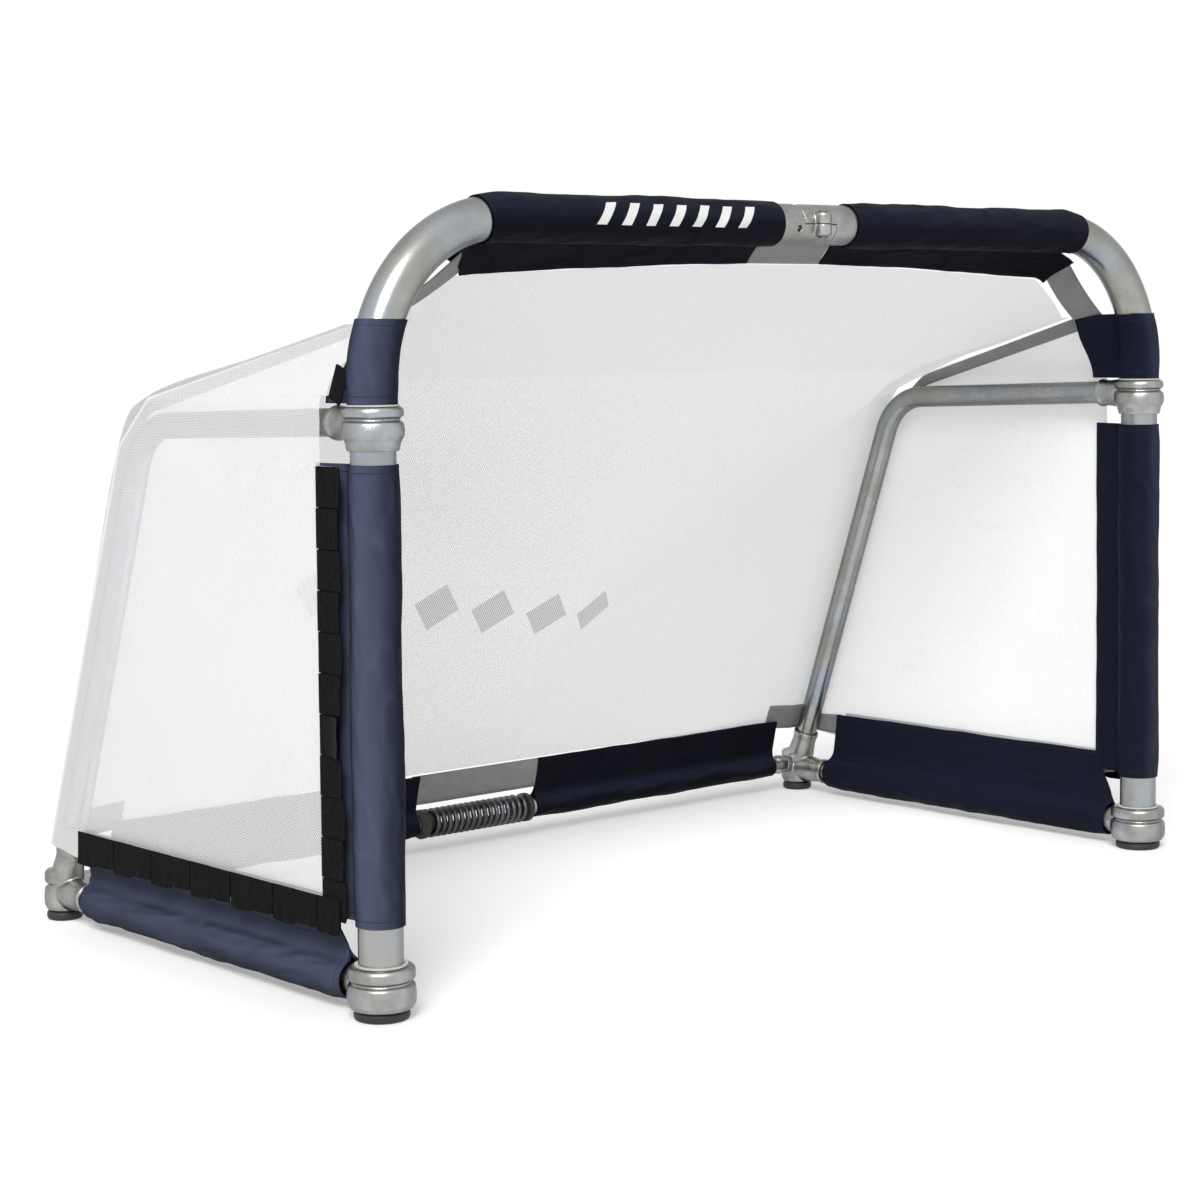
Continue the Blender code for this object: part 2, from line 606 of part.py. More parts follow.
def place_sheet(obj, side, pivot, inner_offset, thickness):
    """Stand a flat sheet beside a side frame, its inner face at an offset from the tubes' plane."""
    offset = inner_offset if side == RIGHT else inner_offset + thickness
    place_object(obj, pivot, (side * (POST_X + offset), 0, 0))
    obj.rotation_mode = "QUATERNION"
    obj.rotation_quaternion = net_plane_rotation(side)


def leg_line(share, offset):
    """A point beside the sloping leg, at a share of its length down from the bend."""
    corner = Vector((0, ARM_REACH, ARM_Z - ARM_FALL))
    place = corner - LEG_DIRECTION * LEG_LENGTH * share + LEG_OUTWARD * offset
    return (place.y, place.z)


def seam_points(drop):
    """Upper edge of the side net, from the post over the arm's bend and down the leg."""
    front = (NET_FRONT, BEND_Z - NET_TOP_DROP - drop)
    over_bend = (ARM_REACH - SEAM_BEND_LEAD, ARM_Z + SIDE_TUBE_R + SEAM_BEND_RISE - drop)
    past_bend = leg_line(SEAM_LEG_START, NET_OFFSET - drop)
    foot = leg_line(SEAM_LEG_END, NET_OFFSET - drop)
    return [front, over_bend, past_bend, foot]


def add_side_net(side, pivot):
    """Side panel of the net, cut round the collar, with a webbing tape along its seam and its strips."""
    label = SIDE_NAMES[side]
    hem = GROUND_BAR_Z + GROUND_TAIL_LENGTH - STRIP_WIDTH + STRIP_LAP
    notch = SOCKET_LENGTH + NOTCH_GAP
    seam = seam_points(0)
    notch_top = COLLAR_TOP + NOTCH_RISE
    notch_bottom = COLLAR_BOTTOM - COLLAR_NECK - COVER_GAP
    outline = [(NET_FRONT, LOWER_COVER_BOTTOM), (NET_FRONT + HEM_CUT, hem), (REAR_DEPTH - HEM_INSET, hem),
               seam[3], seam[2], seam[1], seam[0], (NET_FRONT, notch_top), (notch, notch_top),
               (notch, notch_bottom), (NET_FRONT, notch_bottom)]
    net = plate(label + "_side_net", outline, NET_THICKNESS, WHITE_MESH)
    place_sheet(net, side, pivot, NET_OFFSET, NET_THICKNESS)

    outer = seam_points(SEAM_INSET)
    outer[0] = (TAIL_LENGTH + 2 * COVER_GAP, outer[0][1] - SEAM_DIP)
    inner = seam_points(SEAM_INSET + TAPE_WIDTH * 0.8)
    inner[0] = (TAIL_LENGTH + 2 * COVER_GAP, inner[0][1] - SEAM_DIP)
    inner[1] = (ARM_REACH - SEAM_BEND_INNER, inner[1][1])
    tape = plate(label + "_seam_tape", outer + inner[::-1], TAPE_THICKNESS, GREY_WEBBING)
    place_sheet(tape, side, pivot, NET_OFFSET - TAPE_THICKNESS - TOUCH_GAP / 2, TAPE_THICKNESS)

    strip_offset = NET_OFFSET + NET_THICKNESS + TOUCH_GAP
    post_strip = tab_strip(label + "_post_strip", notch_bottom - LOWER_COVER_BOTTOM)
    place_sheet(post_strip, side, pivot, strip_offset, STRIP_THICKNESS)
    post_strip.location.y += TAIL_LENGTH
    post_strip.location.z += LOWER_COVER_BOTTOM
    ground_strip = tab_strip(label + "_ground_strip", GROUND_COVER_END - GROUND_COVER_START)
    near_face = strip_offset + (STRIP_THICKNESS if side == RIGHT else 0)
    place_object(ground_strip, pivot, (side * (POST_X + near_face), GROUND_COVER_START,
                                       GROUND_BAR_Z + GROUND_TAIL_LENGTH))
    ground_strip.rotation_mode = "QUATERNION"
    ground_strip.rotation_quaternion = frame_rotation(Vector((0, 0, 1)), Vector((-1, 0, 0)))


def tab_strip(name, length):
    """A fastening strip up local Y, its straight edge at X = 0 and stepped tabs along the other edge."""
    tabs = max(2, round(length / STRIP_TAB_PITCH))
    outline = [(0, length), (0, 0)]
    for i in range(tabs):
        width = STRIP_WIDTH - STRIP_TAB_STEP * (i % 2)
        outline += [(-width, length * i / tabs), (-width, length * (i + 1) / tabs)]
    return plate(name, outline, STRIP_THICKNESS, BLACK_FABRIC)


def add_back_half(side, pivot):
    """One half of the back bar: eye, tube, cover and the plug that the spring is wound on."""
    label = SIDE_NAMES[side]
    tube_start = REAR_PIVOT_X - EYE_NECK
    plug_end = PLUG_FACE_X + PLUG_FLANGE_LENGTH
    tube_length = tube_start - plug_end - TOUCH_GAP
    bar = tube(label + "_back_tube", [Vector((0, 0, 0)), Vector((-side * tube_length, 0, 0))],
               BACK_TUBE_R, ALUMINIUM)
    place_object(bar, pivot, (side * tube_start, REAR_DEPTH, BACK_BAR_Z))

    eye = lug_block(label + "_back_eye", -side, EYE_R, EYE_THICKNESS, EYE_NECK - TOUCH_GAP)
    dress(eye, CAST_ALUMINIUM)
    place_object(eye, pivot, (side * REAR_PIVOT_X, REAR_DEPTH, BACK_BAR_Z - EYE_THICKNESS / 2))
    ferrule = cylinder(label + "_back_eye_ferrule", BACK_TUBE_R, TOUCH_GAP, 0.006, sides=TUBE_SIDES)
    place_object(ferrule, pivot, (side * tube_start, REAR_DEPTH, BACK_BAR_Z), (0, side * math.pi / 2, 0))
    combine(eye, ferrule, "UNION")
    hole = cylinder(label + "_back_eye_bore", clear_bore(REAR_PIN_R, REAR_PIN_PLAY), -0.02, 0.02,
                    sides=TUBE_SIDES)
    place_object(hole, pivot, (side * REAR_PIVOT_X, REAR_DEPTH, BACK_BAR_Z))
    combine(eye, hole, "DIFFERENCE")

    outline = [(0, -PLUG_NOSE_LENGTH), (PLUG_NOSE_R - 0.002, -PLUG_NOSE_LENGTH),
               (PLUG_NOSE_R, -PLUG_NOSE_LENGTH + 0.002), (PLUG_NOSE_R, 0), (PLUG_FLANGE_R, 0),
               (PLUG_FLANGE_R, PLUG_FLANGE_LENGTH * 0.6), (BACK_TUBE_R + 0.001, PLUG_FLANGE_LENGTH),
               (0, PLUG_FLANGE_LENGTH)]
    plug = revolve(label + "_spring_plug", outline, BLACK_RUBBER, TUBE_SIDES)
    place_object(plug, pivot, (side * PLUG_FACE_X, REAR_DEPTH, BACK_BAR_Z), (0, side * math.pi / 2, 0))

    cover = fabric_cover(label + "_back_cover", BACK_COVER_END - BACK_COVER_START, BACK_TUBE_R,
                         BACK_TAIL_LENGTH, 5)
    place_object(cover, pivot, (side * BACK_COVER_START, REAR_DEPTH, BACK_BAR_Z))
    cover.rotation_mode = "QUATERNION"
    cover.rotation_quaternion = frame_rotation(back_tail_direction(), Vector((side, 0, 0)))


def back_tail_direction():
    """The back covers' tails lean forward until their tips meet the plane of the net."""
    tip = leg_line(1 - (BACK_TAIL_LENGTH + BACK_BAR_Z - GROUND_BAR_Z) / LEG_RISE, NET_OFFSET)
    lean = math.asin((REAR_DEPTH - tip[0] + TAIL_THICKNESS) / BACK_TAIL_LENGTH)
    return Vector((0, -math.sin(lean), math.cos(lean)))


def spring_path():
    """Wire of the back bar's spring along X, with a short straight lead at each end."""
    half = SPRING_TURNS * SPRING_PITCH / 2
    count = SPRING_TURNS * SPRING_POINTS_PER_TURN
    points = [Vector((-half - SPRING_LEAD, 0, SPRING_COIL_R))]
    for i in range(count + 1):
        angle = math.tau * i / SPRING_POINTS_PER_TURN
        points.append(Vector((-half + 2 * half * i / count, SPRING_COIL_R * math.sin(angle),
                              SPRING_COIL_R * math.cos(angle))))
    points.append(Vector((half + SPRING_LEAD, 0, SPRING_COIL_R)))
    return points


def least_self_gap(path, radius, skip):
    """Smallest free distance between stretches of one wire that aren't neighbours."""
    return min((a - b).length for i, a in enumerate(path) for b in path[i + skip:]) - 2 * radius


def add_spring(pivot):
    path = spring_path()
    gap = least_self_gap(path, SPRING_WIRE_R, SPRING_POINTS_PER_TURN - 2)
    print(f"back spring: least gap between turns {gap * 1000:.2f} mm")
    spring = tube("back_spring", path, SPRING_WIRE_R, SPRING_STEEL, sides=6)
    place_object(spring, pivot, (0, REAR_DEPTH, BACK_BAR_Z))


def back_net_row(x):
    """Profile of the roof and back panel at one place across the goal, from crossbar to back bar."""
    bulge = min(abs(x) / (POST_X - SIDE_TUBE_R - TOUCH_GAP), 1) ** 2.4
    tip = TAIL_LENGTH + TOUCH_GAP + NET_THICKNESS
    middle_top = Vector((tip * math.cos(CROSSBAR_TAIL_SLOPE),
                         CROSSBAR_Z - tip * math.sin(CROSSBAR_TAIL_SLOPE)))
    seam = [Vector(point) for point in seam_points(-NET_LIFT)]
    side_top = Vector((TAIL_LENGTH + NET_TOP_DROP, seam[0].y - NET_TOP_DROP))
    corner_share = min(max((abs(x) - COVER_END) / (POST_X - SIDE_TUBE_R - COVER_END), 0), 1)
    top = middle_top.lerp(side_top, corner_share)
    tail = back_tail_direction() * (BACK_TAIL_LENGTH + NET_THICKNESS + TOUCH_GAP)
    middle_bottom = Vector((REAR_DEPTH + tail.y, BACK_BAR_Z + tail.z))
    side_bottom = seam[3]
    bottom = middle_bottom.lerp(side_bottom, bulge ** 3)
    stations = ((0.25, seam[0].lerp(seam[1], 0.5)), (0.5, seam[1]), (0.62, seam[2]),
                (0.81, seam[2].lerp(seam[3], 0.5)))
    chord = bottom - top
    normal = Vector((-chord.y, chord.x)).normalized()
    row = [top]
    for along, at_side in stations:
        sagging = top + chord * along - normal * NET_SAG * math.sin(math.pi * along)
        row.append(sagging.lerp(at_side, bulge))
    row.append(bottom)
    return [Vector((x, point.x, point.y)) for point in row]


def add_back_net(pivot):
    """Roof and back of the net in one sheet, drawn taut between crossbar, side frames and back bar."""
    edge = POST_X + NET_OFFSET - TAPE_THICKNESS - 3 * TOUCH_GAP
    inner = POST_X - SIDE_TUBE_R - TOUCH_GAP
    columns = 12
    places = [-edge, *(inner * (2 * i / columns - 1) for i in range(columns + 1)), edge]
    bm = bmesh.new()
    rows = [[bm.verts.new(point) for point in back_net_row(x)] for x in places]
    for row, beside in zip(rows, rows[1:]):
        for i in range(len(row) - 1):
            bm.faces.new((row[i], row[i + 1], beside[i + 1], beside[i]))
    net = mesh_object("back_net", bm, WHITE_MESH)
    shell = net.modifiers.new("thickness", "SOLIDIFY")
    shell.thickness = NET_THICKNESS
    shell.offset = 0
    place_object(net, pivot, (0, 0, 0))


def add_middle_tapes(net_pivot, back_pivot):
    """Webbing that shows between the crossbar covers and between the back covers."""
    half = COVER_START - 2 * TOUCH_GAP
    rise = TAIL_LENGTH - MAIN_TUBE_R - COVER_GAP
    outline = [(-half, 0), (half, 0), (half, rise), (-half, rise)]
    top_tape = plate("top_tape", outline, TAPE_THICKNESS, GREY_WEBBING)
    place_object(top_tape, net_pivot, (0, TAIL_LENGTH * math.cos(CROSSBAR_TAIL_SLOPE),
                                       CROSSBAR_Z - TAIL_LENGTH * math.sin(CROSSBAR_TAIL_SLOPE)))
    top_tape.rotation_mode = "QUATERNION"
    along = Vector((1, 0, 0))
    up_slope = Vector((0, -math.cos(CROSSBAR_TAIL_SLOPE), math.sin(CROSSBAR_TAIL_SLOPE)))
    top_tape.rotation_quaternion = frame_rotation(along, along.cross(up_slope))

    half = BACK_COVER_START - 2 * TOUCH_GAP
    outline = [(-half, -TAPE_WIDTH), (half, -TAPE_WIDTH), (half, 0), (-half, 0)]
    low_tape = plate("bottom_tape", outline, TAPE_THICKNESS, GREY_WEBBING)
    tail = back_tail_direction() * BACK_TAIL_LENGTH
    place_object(low_tape, back_pivot, (0, REAR_DEPTH + tail.y, BACK_BAR_Z + tail.z))
    low_tape.rotation_mode = "QUATERNION"
    low_tape.rotation_quaternion = frame_rotation(along, along.cross(tail.normalized()))


def build():
    clear_scene()
    origin = add_axis("goal_ground", (0, 0, 0))
    frames = {
        "left_side": add_axis("left_side_axis", (-POST_X, 0, 0)),
        "right_side": add_axis("right_side_axis", (POST_X, 0, 0)),
        "left_front": add_axis("left_post_axis", (-POST_X, 0, 0)),
        "right_front": add_axis("crossbar_pin_axis", (0, -HINGE_PIN_OFFSET, CROSSBAR_Z)),
        "left_back": add_axis("left_rear_axis", (-REAR_PIVOT_X, REAR_DEPTH, BACK_BAR_Z)),
        "right_back": add_axis("back_spring_axis", (0, REAR_DEPTH + SPRING_PIVOT_OFFSET, BACK_BAR_Z)),
    }
    for side, label in SIDE_NAMES.items():
        add_side_frame(side, frames[label + "_side"])
        add_post_covers(side, frames[label + "_side"])
        add_ground_cover(side, frames[label + "_side"])
        add_side_net(side, frames[label + "_side"])
        add_front_half(side, frames[label + "_front"])
        add_back_half(side, frames[label + "_back"])
    add_pin("crossbar_hinge_pin", frames["left_front"], (0, -HINGE_PIN_OFFSET, CROSSBAR_Z), HINGE_PIN_R,
            HINGE_PIN_HEAD_R, HINGE_EYE_HEIGHT + TOUCH_GAP)
    add_spring(frames["left_back"])
    add_back_net(frames["left_side"])
    add_middle_tapes(frames["left_side"], frames["left_back"])
    for frame in frames.values():
        frame.parent = origin
    origin.location = goal_point(0, 0, 0)


build()
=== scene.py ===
"""Dressed model of a folding practice goal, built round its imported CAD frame.

Lengths are in metres. The builders work in the goal's own frame: X along the crossbar, Y from the plane of
the posts to the back and Z up from the ground. new_object() carries a finished mesh into the row frame.
"""

from __future__ import annotations

import functools
import logging
import math
from dataclasses import dataclass, field
from enum import Enum
from typing import Any, Callable, Sequence

import bmesh
import bpy
from mathutils import Matrix, Vector, noise

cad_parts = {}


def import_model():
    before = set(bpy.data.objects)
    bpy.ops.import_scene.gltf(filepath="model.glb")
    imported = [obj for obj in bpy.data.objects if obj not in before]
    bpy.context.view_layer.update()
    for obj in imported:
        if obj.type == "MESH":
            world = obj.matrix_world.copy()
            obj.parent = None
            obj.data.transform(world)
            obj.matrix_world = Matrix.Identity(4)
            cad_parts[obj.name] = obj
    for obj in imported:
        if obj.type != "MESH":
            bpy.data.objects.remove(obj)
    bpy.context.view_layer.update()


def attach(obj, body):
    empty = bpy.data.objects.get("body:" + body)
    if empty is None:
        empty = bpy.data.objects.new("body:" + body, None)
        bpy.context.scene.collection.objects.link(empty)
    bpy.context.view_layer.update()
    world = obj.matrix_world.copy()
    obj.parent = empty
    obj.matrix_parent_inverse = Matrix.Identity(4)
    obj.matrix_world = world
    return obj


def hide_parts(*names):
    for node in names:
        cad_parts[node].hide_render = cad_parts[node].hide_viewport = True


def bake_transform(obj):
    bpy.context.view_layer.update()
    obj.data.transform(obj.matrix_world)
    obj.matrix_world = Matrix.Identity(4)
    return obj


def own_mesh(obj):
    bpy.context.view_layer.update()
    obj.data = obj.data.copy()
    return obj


LOG = logging.getLogger("goal")
Profile = Sequence[tuple[float, float]]
Colour = tuple[float, float, float]


def at(*place: float) -> Vector:
    """A point or a direction."""
    return Vector(place)


UP = at(0, 0, 1)
BACK = at(0, 1, 0)
ACROSS = at(1, 0, 0)


def clamp(share: float) -> float:
    """Keep a share between 0 and 1."""
    return min(max(share, 0.0), 1.0)


class Side(Enum):
    """A half of the goal, seen from the mouth."""

    LEFT = -1
    RIGHT = 1


class Marks(Enum):
    """Plain printed shapes that a fabric can carry."""

    NONE = "none"
    DASHES = "dashes"
    DIAMONDS = "diamonds"


@dataclass(frozen=True)
class GoalSizes:
    """Sizes that several sub-assemblies share, as the CAD frame has them."""

    post_x: float = 0.72
    post_y: float = -0.35565
    main_r: float = 0.027
    crossbar_z: float = 0.935
    bend_r: float = 0.195
    cover_top: float = 0.8096
    corner_pull: float = 0.060
    side_r: float = 0.017
    arm_z: float = 0.694
    arm_fall: float = 0.013
    arm_reach: float = 0.495
    arm_bend_r: float = 0.085
    rear_depth: float = 0.725
    ground_z: float = 0.0365
    back_r: float = 0.015
    back_z: float = 0.046
    bearing_r: float = 0.0287
    socket_length: float = 0.07
    socket_depth: float = 0.026
    casting_floor: float = 0.0124
    tail: float = 0.092
    tail_rise: float = 0.024
    back_tail: float = 0.081
    ground_tail: float = 0.10
    tail_offset: float = 0.0155
    net_offset: float = 0.0198
    tape_width: float = 0.038
    pivot_x: float = 0.672
    gap: float = 0.0004
    pin_offset: float = 0.029
    slope: float = math.radians(47)

    @property
    def crossbar_lean(self) -> Vector:
        """Direction in which the crossbar covers' tails hang back toward the net."""
        return at(0, math.cos(self.slope), -math.sin(self.slope))

    @property
    def leg(self) -> Vector:
        """Direction of the sloping leg, from the rear corner up to the arm's bend."""
        return at(0, self.arm_reach - self.rear_depth, self.arm_z - self.arm_fall - self.ground_z).normalized()

    @property
    def leg_length(self) -> float:
        """Length of the sloping leg between its two corners."""
        return math.hypot(self.rear_depth - self.arm_reach, self.arm_z - self.arm_fall - self.ground_z)

    def beside_leg(self, share: float, offset: float) -> Vector:
        """A point beside the leg.

        Args:
            share: part of the leg's length, counted down from the arm's bend.
            offset: distance behind the leg's axis.

        Returns:
            The point as (y, z).
        """
        down = -self.leg * self.leg_length * share
        return at(self.arm_reach + down.y + self.leg.z * offset,
                  self.arm_z - self.arm_fall + down.z - self.leg.y * offset)

    def seam(self, drop: float = 0.0) -> list[Vector]:
        """Line where side net and back net are sewn together, as (y, z) from the post to the leg's foot."""
        return [at(0.052, self.cover_top + 0.0074 - drop),
                at(self.arm_reach - 0.045, self.arm_z + self.side_r + 0.008 - drop),
                self.beside_leg(0.05, self.net_offset - drop), self.beside_leg(0.905, self.net_offset + 0.003 - drop)]

    def front_line(self, side: Side) -> list[Vector]:
        """Centreline of the front frame, from the middle of the crossbar to the ground."""
        middle = at(0, 0, self.crossbar_z)
        corner = at(side.value * self.post_x, 0, self.crossbar_z)
        ground = at(side.value * self.post_x, 0, 0)
        arc = rounded_corner(middle, corner, ground, self.bend_r, 40)
        return [*straight(middle, arc[0])[:-1], *arc, *straight(arc[-1], ground)[1:]]

    def pull(self, y: float) -> float:
        """How far the corner of the cover draws the seam inward at one distance behind the post."""
        return self.corner_pull * clamp((self.arm_reach - 0.045 - y) / (self.arm_reach - 0.125))

    def crossbar_tail(self, x: float) -> float:
        """Length of the crossbar covers' tail at one place across the goal, shortest at the hinge."""
        return self.tail - self.tail_rise * (1 - clamp((abs(x) - 0.07) / 0.49) ** 1.4)

    def seam_height(self, y: float) -> float:
        """Height of the seam above the arm."""
        front, back = self.seam()[:2]
        return front.y + (back.y - front.y) * clamp((y - front.x) / (back.x - front.x))

    @property
    def back_tail_lean(self) -> Vector:
        """Direction in which the back covers' tails stand up toward the net."""
        share = 1 - (self.back_tail + self.back_z - self.ground_z) / (self.arm_z - self.arm_fall - self.ground_z)
        tip = self.beside_leg(share, self.net_offset)
        lean = math.asin((self.rear_depth - tip.x + 0.004) / self.back_tail)
        return at(0, -math.sin(lean), math.cos(lean))


SIZES = GoalSizes()


# Meshes


def smooth_step(share: float) -> float:
    """Ease from 0 to 1."""
    share = clamp(share)
    return share * share * (3 - 2 * share)


def ripple(*place: float, seed: float = 0.0) -> float:
    """Smooth repeatable noise between about -1 and 1."""
    x, y, z = (*place, 0.0, 0.0)[:3]
    return noise.noise(at(x + 13.7 * seed, y - 7.3 * seed, z + 3.1 * seed))


def new_object(name: str, bm: bmesh.types.BMesh, smooth_angle: float = 38.0) -> bpy.types.Object:
    """Turn a bmesh in the goal's own frame into an object in the row frame.

    Args:
        name: piece name.
        bm: the mesh, which is freed.
        smooth_angle: edges sharper than this many degrees stay crisp.

    Returns:
        The linked object.
    """
    bmesh.ops.translate(bm, verts=bm.verts, vec=(0, SIZES.post_y, 0))
    mesh = bpy.data.meshes.new(name)
    bm.to_mesh(mesh)
    bm.free()
    mesh.shade_smooth()
    mesh.set_sharp_from_angle(angle=math.radians(smooth_angle))
    obj = bpy.data.objects.new(name, mesh)
    bpy.context.scene.collection.objects.link(obj)
    return obj


def settle(obj: bpy.types.Object) -> bpy.types.Object:
    """Apply an object's modifiers to its mesh."""
    graph = bpy.context.evaluated_depsgraph_get()
    mesh = bpy.data.meshes.new_from_object(obj.evaluated_get(graph))
    obj.modifiers.clear()
    obj.data = mesh
    return obj


def grid(name: str, rows: Sequence[Sequence[Vector]], spots: Sequence[Sequence[tuple[float, float]]],
         closed: bool = False, smooth_angle: float = 60.0) -> bpy.types.Object:
    """A sheet from rows of points, with its cloth coordinates in metres.

    Args:
        name: piece name.
        rows: points, the same number in each row.
        spots: (along, across) cloth coordinate of each point.
        closed: joins the last column to the first, which then needs one more spot in each row.
        smooth_angle: edges sharper than this many degrees stay crisp.

    Returns:
        The sheet.
    """
    bm = bmesh.new()
    layer = bm.loops.layers.uv.new("cloth")
    verts = [[bm.verts.new(point) for point in row] for row in rows]
    count = len(rows[0])
    for j in range(len(rows) - 1):
        for i in range(count if closed else count - 1):
            face = bm.faces.new((verts[j][i], verts[j][(i + 1) % count], verts[j + 1][(i + 1) % count],
                                 verts[j + 1][i]))
            for loop, (a, b) in zip(face.loops, ((j, i), (j, i + 1), (j + 1, i + 1), (j + 1, i))):
                loop[layer].uv = spots[a][b]
    return new_object(name, bm, smooth_angle)


def ring_points(centre: Vector, first: Vector, second: Vector, radius: float, sides: int) -> list[Vector]:
    """Points of a circle spanned by two directions."""
    return [centre + first * radius * math.cos(math.tau * i / sides)
            + second * radius * math.sin(math.tau * i / sides) for i in range(sides)]


def sweep(name: str, path: Sequence[Vector], radius: float, sides: int = 56, rim: float = 0.0012) -> bpy.types.Object:
    """A round bar along a path, with rounded rims at both ends.

    Args:
        name: piece name.
        path: points of its centreline.
        radius: outer radius.
        sides: corners of its section.
        rim: radius of the rounding at each end.

    Returns:
        The bar, with its length and girth as cloth coordinates.
    """
    tangents = [(path[min(i + 1, len(path) - 1)] - path[max(i - 1, 0)]).normalized() for i in range(len(path))]
    first = tangents[0].orthogonal().normalized()
    rows, spots, run = [], [], 0.0
    for i, (point, tangent) in enumerate(zip(path, tangents)):
        first = (first - tangent * first.dot(tangent)).normalized()
        second = tangent.cross(first)
        run += (point - path[i - 1]).length if i else 0.0
        ends = ([(0.0, 0.4), (rim * 0.3, 0.75), (rim, 1.0)] if i == 0 else
                [(-rim, 1.0), (-rim * 0.3, 0.75), (0.0, 0.4)] if i == len(path) - 1 else [(0.0, 1.0)])
        for shift, share in ends:
            size = radius if share == 1.0 else radius - rim * (1 - share)
            size = radius * 0.05 if share == 0.4 else size
            rows.append(ring_points(point + tangent * shift, first, second, size, sides))
            spots.append([(run + shift, math.tau * radius * j / sides) for j in range(sides + 1)])
    return grid(name, rows, spots, closed=True, smooth_angle=50)


def rounded_corner(before: Vector, corner: Vector, after: Vector, radius: float, steps: int) -> list[Vector]:
    """Points of the arc that rounds a corner between two straight runs."""
    back = (before - corner).normalized()
    onward = (after - corner).normalized()
    half = back.angle(onward) / 2
    centre = corner + (back + onward).normalized() * radius / math.sin(half)
    start = (corner + back * radius / math.tan(half) - centre).normalized()
    sweep_angle = math.pi - 2 * half
    return [centre + radius * (start * math.cos(sweep_angle * i / steps) - back * math.sin(sweep_angle * i / steps))
            for i in range(steps + 1)]


def straight(start: Vector, end: Vector, step: float = 0.05) -> list[Vector]:
    """Evenly spaced points from start to end."""
    count = max(2, round((end - start).length / step))
    return [start.lerp(end, i / count) for i in range(count + 1)]


def turn_profile(bm: bmesh.types.BMesh, outline: Profile, place: Vector, axis: Vector, sides: int) -> None:
    """Add a solid turned from (radius, height) points about an axis through a place."""
    first = axis.orthogonal().normalized()
    second = axis.cross(first)
    rings = []
    for radius, height in outline:
        centre = place + axis * height
        rings.append([bm.verts.new(p) for p in ring_points(centre, first, second, max(radius, 1e-5), sides)])
    for low, high in zip(rings, rings[1:]):
        for i in range(sides):
            bm.faces.new((low[i], low[(i + 1) % sides], high[(i + 1) % sides], high[i]))
    bm.faces.new(rings[0][::-1])
    bm.faces.new(rings[-1])


def rounded_profile(corners: Profile, radius: float, steps: int = 4) -> list[tuple[float, float]]:
    """Round every inner corner of a (radius, height) outline.

    Args:
        corners: the outline with sharp corners, from one end of the axis to the other.
        radius: size of the rounding where the corner has room for it.
        steps: faces on each rounding.

    Returns:
        The outline with arcs in its corners.
    """
    points = [at(*corners[0], 0)]
    flat = [at(*corner, 0) for corner in corners]
    for before, corner, after in zip(flat, flat[1:], flat[2:]):
        room = min((before - corner).length, (after - corner).length) * 0.48
        back, onward = (before - corner).normalized(), (after - corner).normalized()
        start, end = corner + back * min(radius, room), corner + onward * min(radius, room)
        for i in range(steps + 1):
            share = i / steps
            points.append(start * (1 - share) ** 2 + corner * 2 * share * (1 - share) + end * share ** 2)
    points.append(flat[-1])
    return [(point.x, point.y) for point in points]


def turned(name: str, outline: Profile, place: Vector, axis: Vector = UP, sides: int = 56) -> bpy.types.Object:
    """A solid of revolution as one piece."""
    bm = bmesh.new()
    turn_profile(bm, outline, place, axis, sides)
    bmesh.ops.recalc_face_normals(bm, faces=bm.faces)
    return new_object(name, bm, 32)


